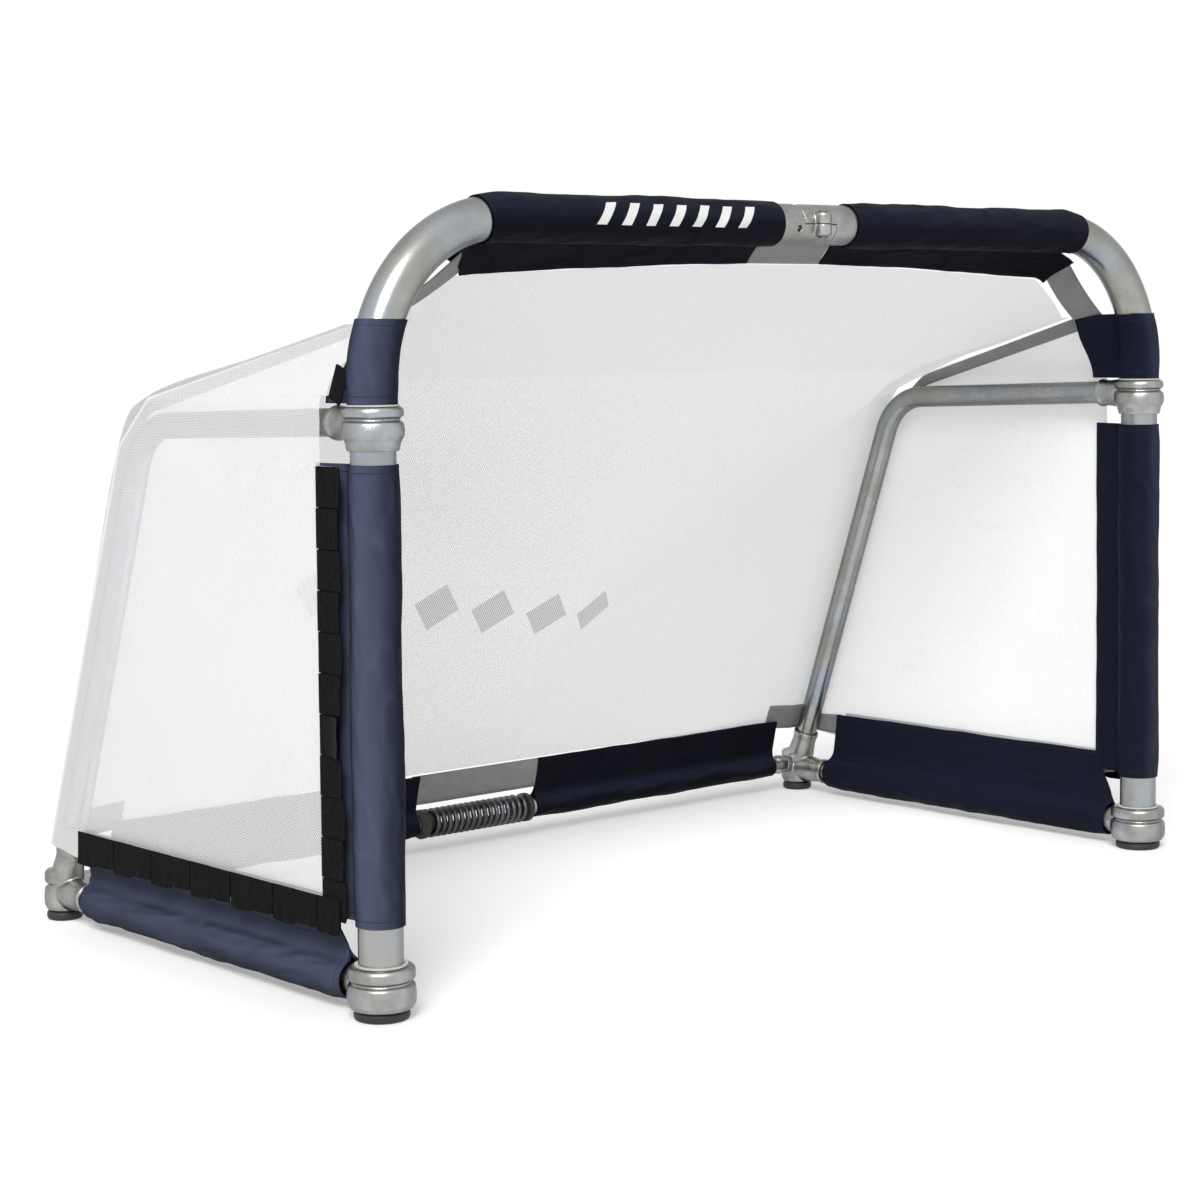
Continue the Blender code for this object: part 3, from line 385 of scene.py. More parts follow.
@dataclass
class Casting:
    """Solids melted together into one cast piece with soft edges, and the holes cut into it."""

    name: str
    voxel: float = 0.0011
    smoothing: int = 4
    solids: list[bmesh.types.BMesh] = field(default_factory=list)
    cutters: list[bmesh.types.BMesh] = field(default_factory=list)

    def turned(self, outline: Profile, place: Vector, axis: Vector = UP, cut: bool = False) -> None:
        """Add or cut a solid of revolution."""
        bm = bmesh.new()
        turn_profile(bm, outline, place, axis, 64)
        bmesh.ops.recalc_face_normals(bm, faces=bm.faces)
        (self.cutters if cut else self.solids).append(bm)

    def rod(self, radius: float, start: Vector, end: Vector, cut: bool = False) -> None:
        """Add or cut a plain round rod between two points."""
        axis = (end - start).normalized()
        self.turned([(radius, 0.0), (radius, (end - start).length)], start, axis, cut)

    def upright(self, radius: float, centre: Vector, half: float, cut: bool = False) -> None:
        """Add or cut an upright rod, half its length on each side of its centre."""
        self.rod(radius, centre - UP * half, centre + UP * half, cut)

    def block(self, first: Vector, second: Vector, cut: bool = False) -> None:
        """Add or cut a box between two opposite corners."""
        low, high = Vector(map(min, first, second)), Vector(map(max, first, second))
        bm = bmesh.new()
        bmesh.ops.create_cube(bm, size=1.0)
        bmesh.ops.scale(bm, verts=bm.verts, vec=high - low)
        bmesh.ops.translate(bm, verts=bm.verts, vec=(low + high) / 2)
        (self.cutters if cut else self.solids).append(bm)

    def _gather(self, name: str, parts: Sequence[bmesh.types.BMesh]) -> bpy.types.Object:
        """Put several closed bodies into one mesh object."""
        whole = bmesh.new()
        for part in parts:
            mesh = bpy.data.meshes.new("part")
            part.to_mesh(mesh)
            part.free()
            whole.from_mesh(mesh)
            bpy.data.meshes.remove(mesh)
        return new_object(name, whole)

    def build(self) -> bpy.types.Object:
        """Melt the solids, cut the holes and round the edges.

        Returns:
            The finished casting.
        """
        body = self._gather(self.name, self.solids)
        melt = body.modifiers.new("melt", "REMESH")
        melt.mode = "VOXEL"
        melt.voxel_size = self.voxel
        settle(body)
        for number, cutter in enumerate(self.cutters):
            tool = self._gather(f"{self.name}_tool_{number}", [cutter])
            cut = body.modifiers.new("cut", "BOOLEAN")
            cut.operation, cut.solver, cut.object = "DIFFERENCE", "MANIFOLD", tool
            settle(body)
            bpy.data.objects.remove(tool, do_unlink=True)
        again = body.modifiers.new("round", "REMESH")
        again.mode = "VOXEL"
        again.voxel_size = self.voxel
        soften = body.modifiers.new("soften", "SMOOTH")
        soften.factor, soften.iterations = 0.5, self.smoothing
        settle(body)
        body.data.shade_smooth()
        return body


# Shader nodes


def calculation(operation: str) -> Callable[..., "Value"]:
    """A method of Value that adds one calculation to the graph."""
    def calculate(self: "Value", *others: Any, **settings: Any) -> "Value":
        return self.graph.math(operation, self, *others, **settings)
    return calculate


@dataclass(frozen=True)
class Value:
    """An output of a node, with which sums can be written."""

    graph: "Graph"
    socket: bpy.types.NodeSocket

    __add__ = calculation("ADD")
    __sub__ = calculation("SUBTRACT")
    __mul__ = calculation("MULTIPLY")
    __truediv__ = calculation("DIVIDE")
    __pow__ = calculation("POWER")
    __abs__ = calculation("ABSOLUTE")
    times = calculation("MULTIPLY")
    scaled = calculation("MULTIPLY_ADD")
    most = calculation("MAXIMUM")
    above = calculation("GREATER_THAN")
    below = calculation("LESS_THAN")
    fraction = calculation("FRACT")
    sign = calculation("SIGN")
    sine = calculation("SINE")

    def __rsub__(self, other: float) -> "Value":
        """Difference from a number."""
        return self.graph.math("SUBTRACT", other, self)

    def __rtruediv__(self, other: float) -> "Value":
        """A number over this value."""
        return self.graph.math("DIVIDE", other, self)


@dataclass(frozen=True)
class Outputs:
    """The outputs of a node, by name or number."""

    graph: "Graph"
    node: bpy.types.Node

    def __getitem__(self, key: str | int) -> Value:
        """One output."""
        return Value(self.graph, self.node.outputs[key])


@dataclass(frozen=True)
class Graph:
    """A bench for wiring the nodes of one tree."""

    tree: bpy.types.NodeTree

    def feed(self, node: bpy.types.Node, inputs: dict[Any, Any]) -> None:
        """Link outputs to a node's inputs, or set the inputs' own values."""
        for name, value in inputs.items():
            socket = node.inputs[name]
            if isinstance(value, Value):
                self.tree.links.new(value.socket, socket)
            elif socket.type == "RGBA" and len(value) == 3:
                socket.default_value = (*value, 1.0)
            else:
                socket.default_value = value

    def add(self, kind: str, inputs: dict[Any, Any] | None = None, **settings: Any) -> Outputs:
        """Add one node.

        Args:
            kind: node type without its prefix.
            inputs: value or output for each named input.
            settings: properties of the node.

        Returns:
            The node's outputs.
        """
        node = self.tree.nodes.new("ShaderNode" + kind)
        for name, value in settings.items():
            setattr(node, name, value)
        self.feed(node, inputs or {})
        return Outputs(self, node)

    def math(self, operation: str, *values: Any, clamp: bool = False) -> Value:
        """Result of one calculation."""
        return self.add("Math", dict(enumerate(values)), operation=operation, use_clamp=clamp)[0]

    def span(self, value: Any, low: float, high: float, to_low: float = 0.0, to_high: float = 1.0) -> Value:
        """Carry a range of values to another range, without leaving it."""
        return self.add("MapRange", {"Value": value, "From Min": low, "From Max": high, "To Min": to_low,
                                     "To Max": to_high})[0]

    def mix(self, share: Any, first: Any, second: Any, **settings: Any) -> Value:
        """Mix two colours."""
        return self.add("Mix", {0: share, 6: first, 7: second}, data_type="RGBA", **settings)[2]

    def rim(self, low: float, high: float, level: float = 1.0) -> Value:
        """Share that grows from a surface that faces the viewer to its turned rim, where the finishes paint shade."""
        return self.span(self.add("LayerWeight", {"Blend": 0.5})["Facing"], low, high, 0.0, level)

    def noise(self, vector: Any, scale: Any, detail: float = 3.0, roughness: float = 0.55) -> Value:
        """Value of a noise texture."""
        return self.add("TexNoise", {"Vector": vector, "Scale": scale, "Detail": detail, "Roughness": roughness})[0]

    def stretch(self, vector: Any, scale: Sequence[float], turn: float = 0.0) -> Value:
        """Scale texture coordinates, and turn them about their third axis."""
        return self.add("Mapping", {"Vector": vector, "Rotation": (0.0, 0.0, turn), "Scale": scale})[0]

    def parts(self, vector: Any) -> Outputs:
        """The three parts of a vector."""
        return self.add("SeparateXYZ", {0: vector})

    def cloth(self, layer: str = "cloth") -> Value:
        """Cloth coordinates in metres."""
        return self.add("UVMap", uv_map=layer)[0]

    def bump(self, height: Any, strength: float, distance: float, **inputs: Any) -> Value:
        """Normal that follows a height."""
        return self.add("Bump", {"Height": height, "Strength": strength, "Distance": distance, **inputs})[0]


Wire = Callable[[Graph, Outputs], Sequence[Value]]


def effect(outputs: str, **inputs: float | None) -> Callable[[Wire], Callable[..., Outputs]]:
    """Make a shader node group that several finishes share, built on first use.

    Args:
        outputs: names of the outputs, all of them plain values.
        inputs: each input's default, or None for a vector.

    Returns:
        A decorator for the function that wires the group. The function then places the group and sets its inputs.
    """
    def decorate(wire: Wire) -> Callable[..., Outputs]:
        @functools.cache
        def build() -> bpy.types.NodeTree:
            tree = bpy.data.node_groups.new(wire.__name__, "ShaderNodeTree")
            for label, default in inputs.items():
                kind = "Vector" if default is None else "Float"
                socket = tree.interface.new_socket(label, in_out="INPUT", socket_type="NodeSocket" + kind)
                if default is not None:
                    socket.default_value = default
            for label in outputs.split():
                tree.interface.new_socket(label, in_out="OUTPUT", socket_type="NodeSocketFloat")
            graph = Graph(tree)
            results = wire(graph, Outputs(graph, tree.nodes.new("NodeGroupInput")))
            graph.feed(tree.nodes.new("NodeGroupOutput"), dict(enumerate(results)))
            return tree

        @functools.wraps(wire)
        def place(graph: Graph, **values: Any) -> Outputs:
            return graph.add("Group", values, node_tree=build())
        return place
    return decorate


@effect("Height Shade", Vector=None, Yarns=1200.0)
def weave(graph: Graph, start: Outputs) -> Sequence[Value]:
    """Plain weave of yarns: Height of the yarns and Shade between them."""
    parts = graph.parts(start["Vector"])
    turns = start["Yarns"] * math.tau
    crossing = (parts[0] * turns).sine() * (parts[1] * turns).sine()
    fuzz = graph.noise(start["Vector"], start["Yarns"] * 0.7, 2.0)
    return crossing.scaled(0.4, fuzz * 0.6), graph.span(crossing, -1.0, 1.0, 0.82, 1.0)


@effect("Height Worn", Vector=None, Scale=12.0)
def creases(graph: Graph, start: Outputs) -> Sequence[Value]:
    """Soft creases of handled cloth: Height of the folds and Worn ridges."""
    broad = graph.noise(graph.stretch(start["Vector"], (1.0, 2.2, 1.0), 0.5), start["Scale"], 2.0, 0.5)
    fine = graph.noise(graph.stretch(start["Vector"], (1.0, 1.7, 1.0), -0.7), start["Scale"] * 3.3)
    ridge = 1.0 - abs(graph.span(broad, 0.3, 0.7, -1.0, 1.0))
    return fine.scaled(0.35, ridge ** 2.0), (ridge ** 6.0).times(fine, clamp=True)


@effect("Thread", Along=0.0, Across=0.0, Line=0.006, Pitch=0.004)
def stitches(graph: Graph, start: Outputs) -> Sequence[Value]:
    """A row of stitches at one distance from an edge: Thread mask."""
    row = graph.span(abs(start["Across"] - start["Line"]), 0.0004, 0.0007, 1.0, 0.0)
    phase = (start["Along"] / start["Pitch"]).fraction()
    return (row * graph.span(abs(phase - 0.5), 0.32, 0.38, 1.0, 0.0),)


@effect("Height Stain Streak", Vector=None, Scale=900.0)
def grain(graph: Graph, start: Outputs) -> Sequence[Value]:
    """Fine surface grain with stains: Height, Stain and Streak."""
    vector, scale = start["Vector"], start["Scale"]
    stain = graph.noise(vector, scale * 0.02, 5.0, 0.62)
    streak = graph.noise(graph.stretch(vector, (0.04, 1.0, 1.0)), scale * 1.6, 3.0, 0.6)
    return graph.noise(vector, scale, 4.0, 0.7), graph.span(stain, 0.42, 0.72), streak


@effect("Mask", Along=0.0, Across=0.0, Start=0.0, End=1.0, Middle=0.0, Height=0.05, Pitch=0.1, Width=0.05, Slant=0.0,
        Taper=0.0)
def printed(graph: Graph, start: Outputs) -> Sequence[Value]:
    """A row of plain printed shapes: Mask."""
    level = start["Across"] - start["Middle"]
    rise = abs(level) / (start["Height"] * 0.5)
    run = level.scaled(start["Slant"], start["Along"] - start["Start"])
    away = abs((run / start["Pitch"]).fraction() - 0.5) * start["Pitch"]
    half = start["Width"] * 0.5 * (1.0 - start["Taper"] * rise)
    inside = graph.span(half - away, -0.0003, 0.0003)
    reach = run.above(0.0) * run.below(start["End"] - start["Start"])
    return (inside * rise.below(1.0) * reach,)


@effect("Cover Height Shade", Vector=None, Pitch=0.0026)
def netting(graph: Graph, start: Outputs) -> Sequence[Value]:
    """Very fine knitted mesh: Cover of the yarns, their Height and the Shade of the cloth."""
    gaps = []
    for turn in (0.7, -0.7):
        across = graph.parts(graph.stretch(start["Vector"], (1.0, 1.0, 1.0), turn))[0]
        gaps.append(graph.span((across * (math.tau / start["Pitch"])).sine(), -0.2, 0.6))
    yarns = 1.0 - gaps[0] * gaps[1]
    cloud = graph.noise(start["Vector"], 3.0, 3.0, 0.5)
    return yarns, yarns, graph.span(cloud, 0.3, 0.7, 0.955, 1.0)


@dataclass(frozen=True)
class Finish:
    """Name and colour of one finish, and what every finish is made with."""

    name: str
    colour: Colour

    def paint(self, graph: Graph) -> dict[str, Any]:
        """What feeds the shader's inputs."""
        raise NotImplementedError

    def tinted(self, share: float) -> Colour:
        """The finish's colour at part of its strength."""
        return tuple(value * share for value in self.colour)

    def material(self) -> bpy.types.Material:
        """Build the material."""
        material = bpy.data.materials.new(self.name)
        material.use_nodes = True
        graph = Graph(material.node_tree)
        graph.feed(material.node_tree.nodes["Principled BSDF"], self.paint(graph))
        return material


@dataclass(frozen=True)
class MetalFinish(Finish):
    """Bare metal with fine grain, brushing and handling stains, and painted shade at its rims."""

    stained: Colour
    roughness: float
    grain: float
    depth: float
    brushed: float = 0.0
    cool: Colour = (0.40, 0.43, 0.49)

    def paint(self, graph: Graph) -> dict[str, Any]:
        """Metal mapped by cloth coordinates where brushed, and by the object's own frame elsewhere, with painted
        shade at its rims.
        """
        place = graph.add("TexCoord")["UV" if self.brushed else "Object"]
        metal = grain(graph, Vector=place, Scale=self.grain)
        broad = graph.noise(graph.add("TexCoord")["Object"], 7.0, 2.0, 0.5)
        clean = graph.mix(graph.span(broad, 0.42, 0.62), self.colour, self.cool)
        stained = graph.mix(metal["Stain"], clean, self.stained)
        # Painted shade: the colour darkens toward the rims that turn from the viewer.
        return {"Base Color": graph.mix(graph.rim(0.22, 0.8, 0.85), stained, self.tinted(0.22)), "Metallic": 1.0,
                "Roughness": metal["Streak"].scaled(self.brushed, metal["Stain"].scaled(0.12, self.roughness)),
                "Normal": graph.bump(metal["Streak"].scaled(self.brushed * 4, metal["Height"]), 0.35, self.depth)}


@dataclass(frozen=True)
class MouldedFinish(Finish):
    """Moulded rubber or nylon with a fine matt grain."""

    dusty: Colour
    roughness: float
    grain: float = 1400.0

    def paint(self, graph: Graph) -> dict[str, Any]:
        """Even colour with dust."""
        skin = grain(graph, Vector=graph.add("TexCoord")["Object"], Scale=self.grain)
        return {"Base Color": graph.mix(skin["Stain"], self.colour, self.dusty),
                "Roughness": skin["Stain"].scaled(0.15, self.roughness),
                "Normal": graph.bump(skin["Height"], 0.4, 0.0003)}


@dataclass(frozen=True)
class ClothFinish(Finish):
    """Woven cloth with creases, stitch rows and plain printed marks, and painted light and shade on its sides and
    rims.
    """

    worn: Colour
    # Painted shade at the rims that turn from the viewer.
    turned: Colour
    # Painted shade: the colour of the sides turned from the light.
    shaded: Colour
    roughness: float
    yarns: float
    crease_scale: float
    crease_depth: float
    thread: Colour
    stitch_lines: tuple[float, ...] = ()
    sheen: float = 0.2
    gloss: float = 0.06
    marks: Marks = Marks.NONE
    mark_colour: Colour = (0.8, 0.8, 0.8)
    # Paints the light on the cloth's top instead of on its outer sides.
    painted_top_light: bool = False

    def _painted_light_share(self, graph: Graph) -> Value:
        """How much painted light the cloth gets: full on its outer sides, or on its top, with painted shade on the
        other sides.
        """
        place = graph.add("TexCoord")
        normal = graph.parts(place["Normal"])
        if self.painted_top_light:
            return graph.span(normal[2], -0.1, 1.0)
        outer = graph.parts(place["Object"])[0].sign() * normal[0]
        return graph.span(outer, -0.75, 0.9) ** 1.6

    def _stitching(self, graph: Graph, run: Outputs) -> Value | None:
        """Mask of the stitch rows along the hems, which the second set of coordinates counts from."""
        if not self.stitch_lines:
            return None
        hem = graph.parts(graph.cloth("hem"))
        rows = [stitches(graph, Along=run[0], Across=hem[1], Line=line)[0] for line in self.stitch_lines]
        rows.append(stitches(graph, Along=run[1], Across=hem[0], Line=0.009)[0])
        return functools.reduce(Value.most, rows)

    def paint(self, graph: Graph) -> dict[str, Any]:
        """Cloth with its wear, its painted light and shade, its stitches and its print."""
        cloth = graph.cloth()
        run = graph.parts(cloth)
        yarns = weave(graph, Vector=cloth, Yarns=self.yarns)
        folds = creases(graph, Vector=cloth, Scale=self.crease_scale)
        lit_share = self._painted_light_share(graph)
        # Painted light and shade: the full colour where the light share is high, the shaded colour elsewhere; worn
        # ridges show only in the painted light.
        colour = graph.mix(folds["Worn"] * lit_share, graph.mix(lit_share, self.shaded, self.colour), self.worn)
        # Painted shade at the rims that turn from the viewer.
        colour = graph.mix(graph.rim(0.3, 0.85), colour, self.turned)
        colour = graph.mix(0.6, colour, yarns["Shade"], blend_type="MULTIPLY")
        thread, fine = self._stitching(graph, run), yarns["Height"]
        if thread:
            colour = graph.mix(thread, colour, self.thread)
            fine = thread.scaled(2.0, fine)
        if self.marks is Marks.DASHES:
            dashes = printed(graph, Along=run[0], Across=run[1], Start=0.05, End=0.33, Middle=0.133, Height=0.028,
                             Pitch=0.04, Width=0.016, Slant=0.7)
            colour = graph.mix(dashes[0], colour, self.mark_colour)
        normal = graph.bump(folds["Height"], 0.5, self.crease_depth)
        return {"Base Color": colour, "Roughness": folds["Worn"].scaled(0.15, self.roughness),
                "Specular IOR Level": self.gloss, "Sheen Weight": self.sheen, "Sheen Roughness": 0.4,
                "Normal": graph.bump(fine, 0.3, 0.0002, Normal=normal)}


@dataclass(frozen=True)
class NetFinish(Finish):
    """Fine white netting that lets a little of what is behind it show."""

    colour: Colour = (0.94, 0.94, 0.955)
    marks: Marks = Marks.NONE
    mark_colour: Colour = (0.36, 0.36, 0.37)

    def paint(self, graph: Graph) -> dict[str, Any]:
        """Netting with its holes and its print."""
        cloth = graph.cloth()
        net = netting(graph, Vector=cloth, Pitch=0.0026)
        colour = graph.mix(1.0, self.colour, net["Shade"], blend_type="MULTIPLY")
        if self.marks is Marks.DIAMONDS:
            run = graph.parts(cloth)
            row = printed(graph, Along=run[0], Across=run[1], Start=-0.46, End=0.08, Middle=0.66, Height=0.085,
                          Pitch=0.09, Width=0.07, Taper=1.0)
            colour = graph.mix(row[0], colour, self.mark_colour)
        return {"Base Color": colour, "Roughness": 0.7, "Alpha": graph.span(net["Cover"], 0.0, 1.0, 0.0, 0.8),
                "Normal": graph.bump(net["Height"], 0.25, 0.0003)}


@dataclass(frozen=True)
class WebbingFinish(Finish):
    """Ribbed polyester tape."""

    ribs: float = 420.0

    def paint(self, graph: Graph) -> dict[str, Any]:
        """Ribs with painted shade in their grooves, on a blotchy tone."""
        cloth = graph.cloth()
        rib = (graph.parts(cloth)[1] * (math.tau * self.ribs)).sine()
        yarns = weave(graph, Vector=cloth, Yarns=900.0)
        # Painted shade: the colour darkens in the grooves between the ribs; the noise adds a blotchy tone.
        tone = rib.scaled(0.18, graph.span(graph.noise(cloth, 40.0, 4.0, 0.6), 0.3, 0.7, 0.25, 0.7))
        return {"Base Color": graph.mix(tone, self.tinted(0.62), self.colour), "Roughness": 0.75,
                "Sheen Weight": 0.3, "Normal": graph.bump(rib.scaled(0.8, yarns["Height"]), 0.5, 0.0004)}


NAVY = dict(roughness=0.62, yarns=1500.0, crease_scale=7.0, crease_depth=0.004, stitch_lines=(0.006, 0.055),
            sheen=0.0)
# Darker copy of the navy cloth: painted shade on the crossbar and back covers, with painted light on their tops.
SHADED_BAR_TONES = dict(colour=(0.020, 0.023, 0.045), worn=(0.009, 0.0105, 0.021), turned=(0.0018, 0.0021, 0.0048),
                 shaded=(0.0032, 0.0038, 0.0088), thread=(0.0048, 0.0056, 0.0115), painted_top_light=True)
FINISHES: dict[str, Finish] = {
    "tube": MetalFinish("drawn_aluminium", (0.40, 0.40, 0.385), (0.30, 0.295, 0.25), 0.2, 700.0, 0.0002, 0.10,
                        (0.36, 0.40, 0.46)),
    "casting": MetalFinish("cast_aluminium", (0.44, 0.44, 0.43), (0.26, 0.26, 0.22), 0.27, 1100.0, 0.0006,
                           cool=(0.42, 0.44, 0.47)),
    "spring": MetalFinish("spring_steel", (0.13, 0.132, 0.14), (0.05, 0.05, 0.05), 0.3, 900.0, 0.0002,
                          cool=(0.15, 0.155, 0.17)),
    "pin": MetalFinish("plated_steel", (0.30, 0.30, 0.31), (0.12, 0.12, 0.12), 0.34, 900.0, 0.0002),
    "rubber": MouldedFinish("black_rubber", (0.012, 0.012, 0.013), (0.045, 0.043, 0.04), 0.62),
    "nylon": MouldedFinish("natural_nylon", (0.62, 0.62, 0.6), (0.48, 0.47, 0.44), 0.45),
    # Navy cloth: its third colour is painted rim shade, its fourth painted side shade.
    "cover": ClothFinish("navy_cloth", (0.066, 0.078, 0.130), (0.085, 0.098, 0.155), (0.0055, 0.0065, 0.017),
                         (0.008, 0.0095, 0.022), thread=(0.016, 0.019, 0.038), **NAVY),
    # Crossbar and back covers: the navy cloth in its painted-shade tones.
    "bar_cover": ClothFinish("shaded_navy_cloth", **NAVY, **SHADED_BAR_TONES),
    "marked_cover": ClothFinish("shaded_navy_cloth_marked", marks=Marks.DASHES, **NAVY, **SHADED_BAR_TONES),
    # Black strip: its third colour is painted rim shade, its fourth painted side shade.
    "strip": ClothFinish("black_hook_strip", (0.006, 0.006, 0.0065), (0.014, 0.014, 0.014),
                         (0.004, 0.004, 0.0045), (0.005, 0.005, 0.0055), 0.8, 700.0, 30.0, 0.001,
                         (0.01, 0.01, 0.01), (), 0.03),
    "webbing": WebbingFinish("grey_webbing", (0.30, 0.305, 0.30)),
    "net": NetFinish("white_netting"),
    "marked_net": NetFinish("white_netting_marked", marks=Marks.DIAMONDS),
}


@dataclass
class Fitter:
    """Dresses finished pieces and hangs them on the CAD frame's bodies."""

    materials: dict[str, bpy.types.Material]
    count: int = 0

    def fit(self, obj: bpy.types.Object, finish: str, slot: str, body: str | None = None,
            *stands_for: str) -> bpy.types.Object:
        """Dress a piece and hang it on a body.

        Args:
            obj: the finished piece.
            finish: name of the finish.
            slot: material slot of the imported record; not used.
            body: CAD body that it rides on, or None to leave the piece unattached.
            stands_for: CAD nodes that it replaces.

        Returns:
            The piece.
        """
        obj.data.materials.clear()
        obj.data.materials.append(self.materials[finish])
        if body:
            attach(obj, body)
        if stands_for:
            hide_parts(*stands_for)
        self.count += 1
        LOG.info("%s: %d faces, %s", obj.name, len(obj.data.polygons), body or "bends")
        return obj


# Cloth pieces


@dataclass(frozen=True)
class Sleeve:
    """A cloth cover drawn round a tube and closed in a flat tail."""

    name: str
    path: Sequence[Vector]
    tail: Vector
    length: float
    tube_r: float
    reach: float
    seed: float
    run_start: float = 0.0
    tail_end: Vector | None = None
    slack: float = 0.0016
    wave: float = 0.0015
    row_step: float = 0.004
    shifts: tuple[float, float] = (0.0, 0.0)
    swell: float = 0.0
    narrow: float = 0.0
    level: Vector | None = None

    def _place(self, s: float) -> tuple[Vector, Vector, Vector, Vector]:
        """Centre, direction, tail and sideways direction at one distance along the sleeve."""
        left = self.run_start + s
        for a, b in zip(self.path, self.path[1:]):
            step = (b - a).length
            if left <= step:
                break
            left -= step
        along = (b - a).normalized()
        tail = self.tail.lerp(self.tail_end, smooth_step(s / self.length)) if self.tail_end else self.tail
        tail = (tail - along * tail.dot(along)).normalized()
        return a + along * left, along, tail, along.cross(tail)

    def _section(self) -> list[tuple[float, float, float]]:
        """Outline across the sleeve as (toward the tail, sideways, angle), from tail tip to tail tip."""
        outer = self.tube_r + 0.0025
        opening = math.radians(30)
        root = outer + 0.012
        half = 0.0013
        tip = [(self.reach, 0.0002, 0.0), (self.reach - 0.0004, half * 1.3, 0.0)]
        tail = [(self.reach - 0.001 - (self.reach - 0.001 - root) * i / 14,
                 half * (1.45 if i < 3 else 1.0), 0.0) for i in range(15)]
        first = at(root, half)
        last = at(outer * math.cos(opening), outer * math.sin(opening))
        knee = at(outer * math.cos(opening * 0.4) + 0.002, half + 0.002)
        bend = [first * (1 - t) ** 2 + knee * 2 * t * (1 - t) + last * t * t for t in (0.25, 0.5, 0.75)]
        arc_steps = 44
        arc = []
        for i in range(arc_steps + 1):
            angle = opening + (math.tau - 2 * opening) * i / arc_steps
            arc.append((outer * math.cos(angle), outer * math.sin(angle), angle))
        upper = tip + tail + [(point.x, point.y, 0.0) for point in bend]
        lower = [(x, -y, 0.0) for x, y, _ in reversed(upper)]
        return upper + arc + lower

    def build(self) -> bpy.types.Object:
        """Make the sleeve with its wrinkles, hems and coordinates.

        Returns:
            The sleeve in the row frame.
        """
        section = self._section()
        girth = [0.0]
        for (x0, y0, _), (x1, y1, _) in zip(section, section[1:]):
            girth.append(girth[-1] + math.hypot(x1 - x0, y1 - y0))
        total = girth[-1]
        count = max(8, round(self.length / self.row_step))
        inner_r = self.tube_r + 0.0008
        bm = bmesh.new()
        cloth, hem = bm.loops.layers.uv.new("cloth"), bm.loops.layers.uv.new("hem")

        def place(x: float, y: float, s: float) -> Vector:
            centre, along, tail, side = self._place(s)
            outer = self.tube_r + 0.0025
            share = smooth_step((x - outer) / (self.reach - outer))
            left = self.length - s
            if x > outer:
                x -= (x - outer) * self.narrow / (self.reach - outer) * (1 - (s / self.length) ** 1.4)
            offset = tail * x + side * y
            shift = share * (self.shifts[0] * smooth_step(1 - s / 0.12)
                             + self.shifts[1] * smooth_step(1 - left / 0.12))
            shift += self.swell * (1 - share) * smooth_step(share / 0.15) * smooth_step(1 - left / 0.06)
            if self.level:
                shift += min(max(offset.dot(self.level), -0.0115), 0.0085) * smooth_step(1 - left / 0.03)
            return centre + offset + along * shift

        def lining(s: float) -> list[Vector]:
            points = []
            for x, y, angle in section:
                if angle:
                    scale = inner_r / math.hypot(x, y)
                    points.append(place(x * scale, y * scale, s))
                else:
                    points.append(place(min(x, self.reach - 0.001), y * 0.3, s))
            return points

        rows = [(lining(min(0.012, self.length / 3)), 0.0), (lining(0.0), 0.0)]
        for row in range(count + 1):
            s = self.length * row / count
            rows.append(([place(*self._draped(x, y, angle, s), s) for x, y, angle in section], s))
        rows += [(lining(self.length), self.length), (lining(self.length - min(0.012, self.length / 3)), self.length)]
        verts = [[bm.verts.new(point) for point in points] for points, _ in rows]
        spots = [s for _, s in rows]
        last = len(section)
        for j in range(len(rows) - 1):
            for i in range(last):
                k = (i + 1) % last
                face = bm.faces.new((verts[j][i], verts[j + 1][i], verts[j + 1][k], verts[j][k]))
                edge = i + 1 if i + 1 < last else i
                for loop, (a, b) in zip(face.loops, ((j, i), (j + 1, i), (j + 1, edge), (j, edge))):
                    loop[cloth].uv = (spots[a], girth[b])
                    loop[hem].uv = (min(spots[a], self.length - spots[a]), min(girth[b], total - girth[b]))
        bmesh.ops.recalc_face_normals(bm, faces=bm.faces)
        return new_object(self.name, bm, 70)

    def _draped(self, x: float, y: float, angle: float, s: float) -> tuple[float, float]:
        """Move a point of the section as the loose cloth lies at one place along the sleeve."""
        ends = smooth_step(s / 0.03) * smooth_step((self.length - s) / 0.03)
        if angle:
            fold = ripple(s * 11, angle * 1.3, seed=self.seed) + 0.5 * ripple(s * 34 + angle * 3, angle * 2,
                                                                              seed=self.seed + 3)
            out = self.slack * ends * (0.45 + max(-0.45, fold))
            scale = 1 + out / math.hypot(x, y)
            return x * scale, y * scale
        outer = self.tube_r + 0.0025
        share = max(0.0, (x - outer) / (self.reach - outer))
        sway = self.wave * share * (ripple(s * 8, x * 10, seed=self.seed + 7)
                                    + 0.6 * ripple(s * 26, x * 16, seed=self.seed + 9)) * (0.4 + 0.6 * ends)
        tuck = 0.0016 * share * ripple(s * 15, seed=self.seed + 5)
        return x + tuck, y + sway


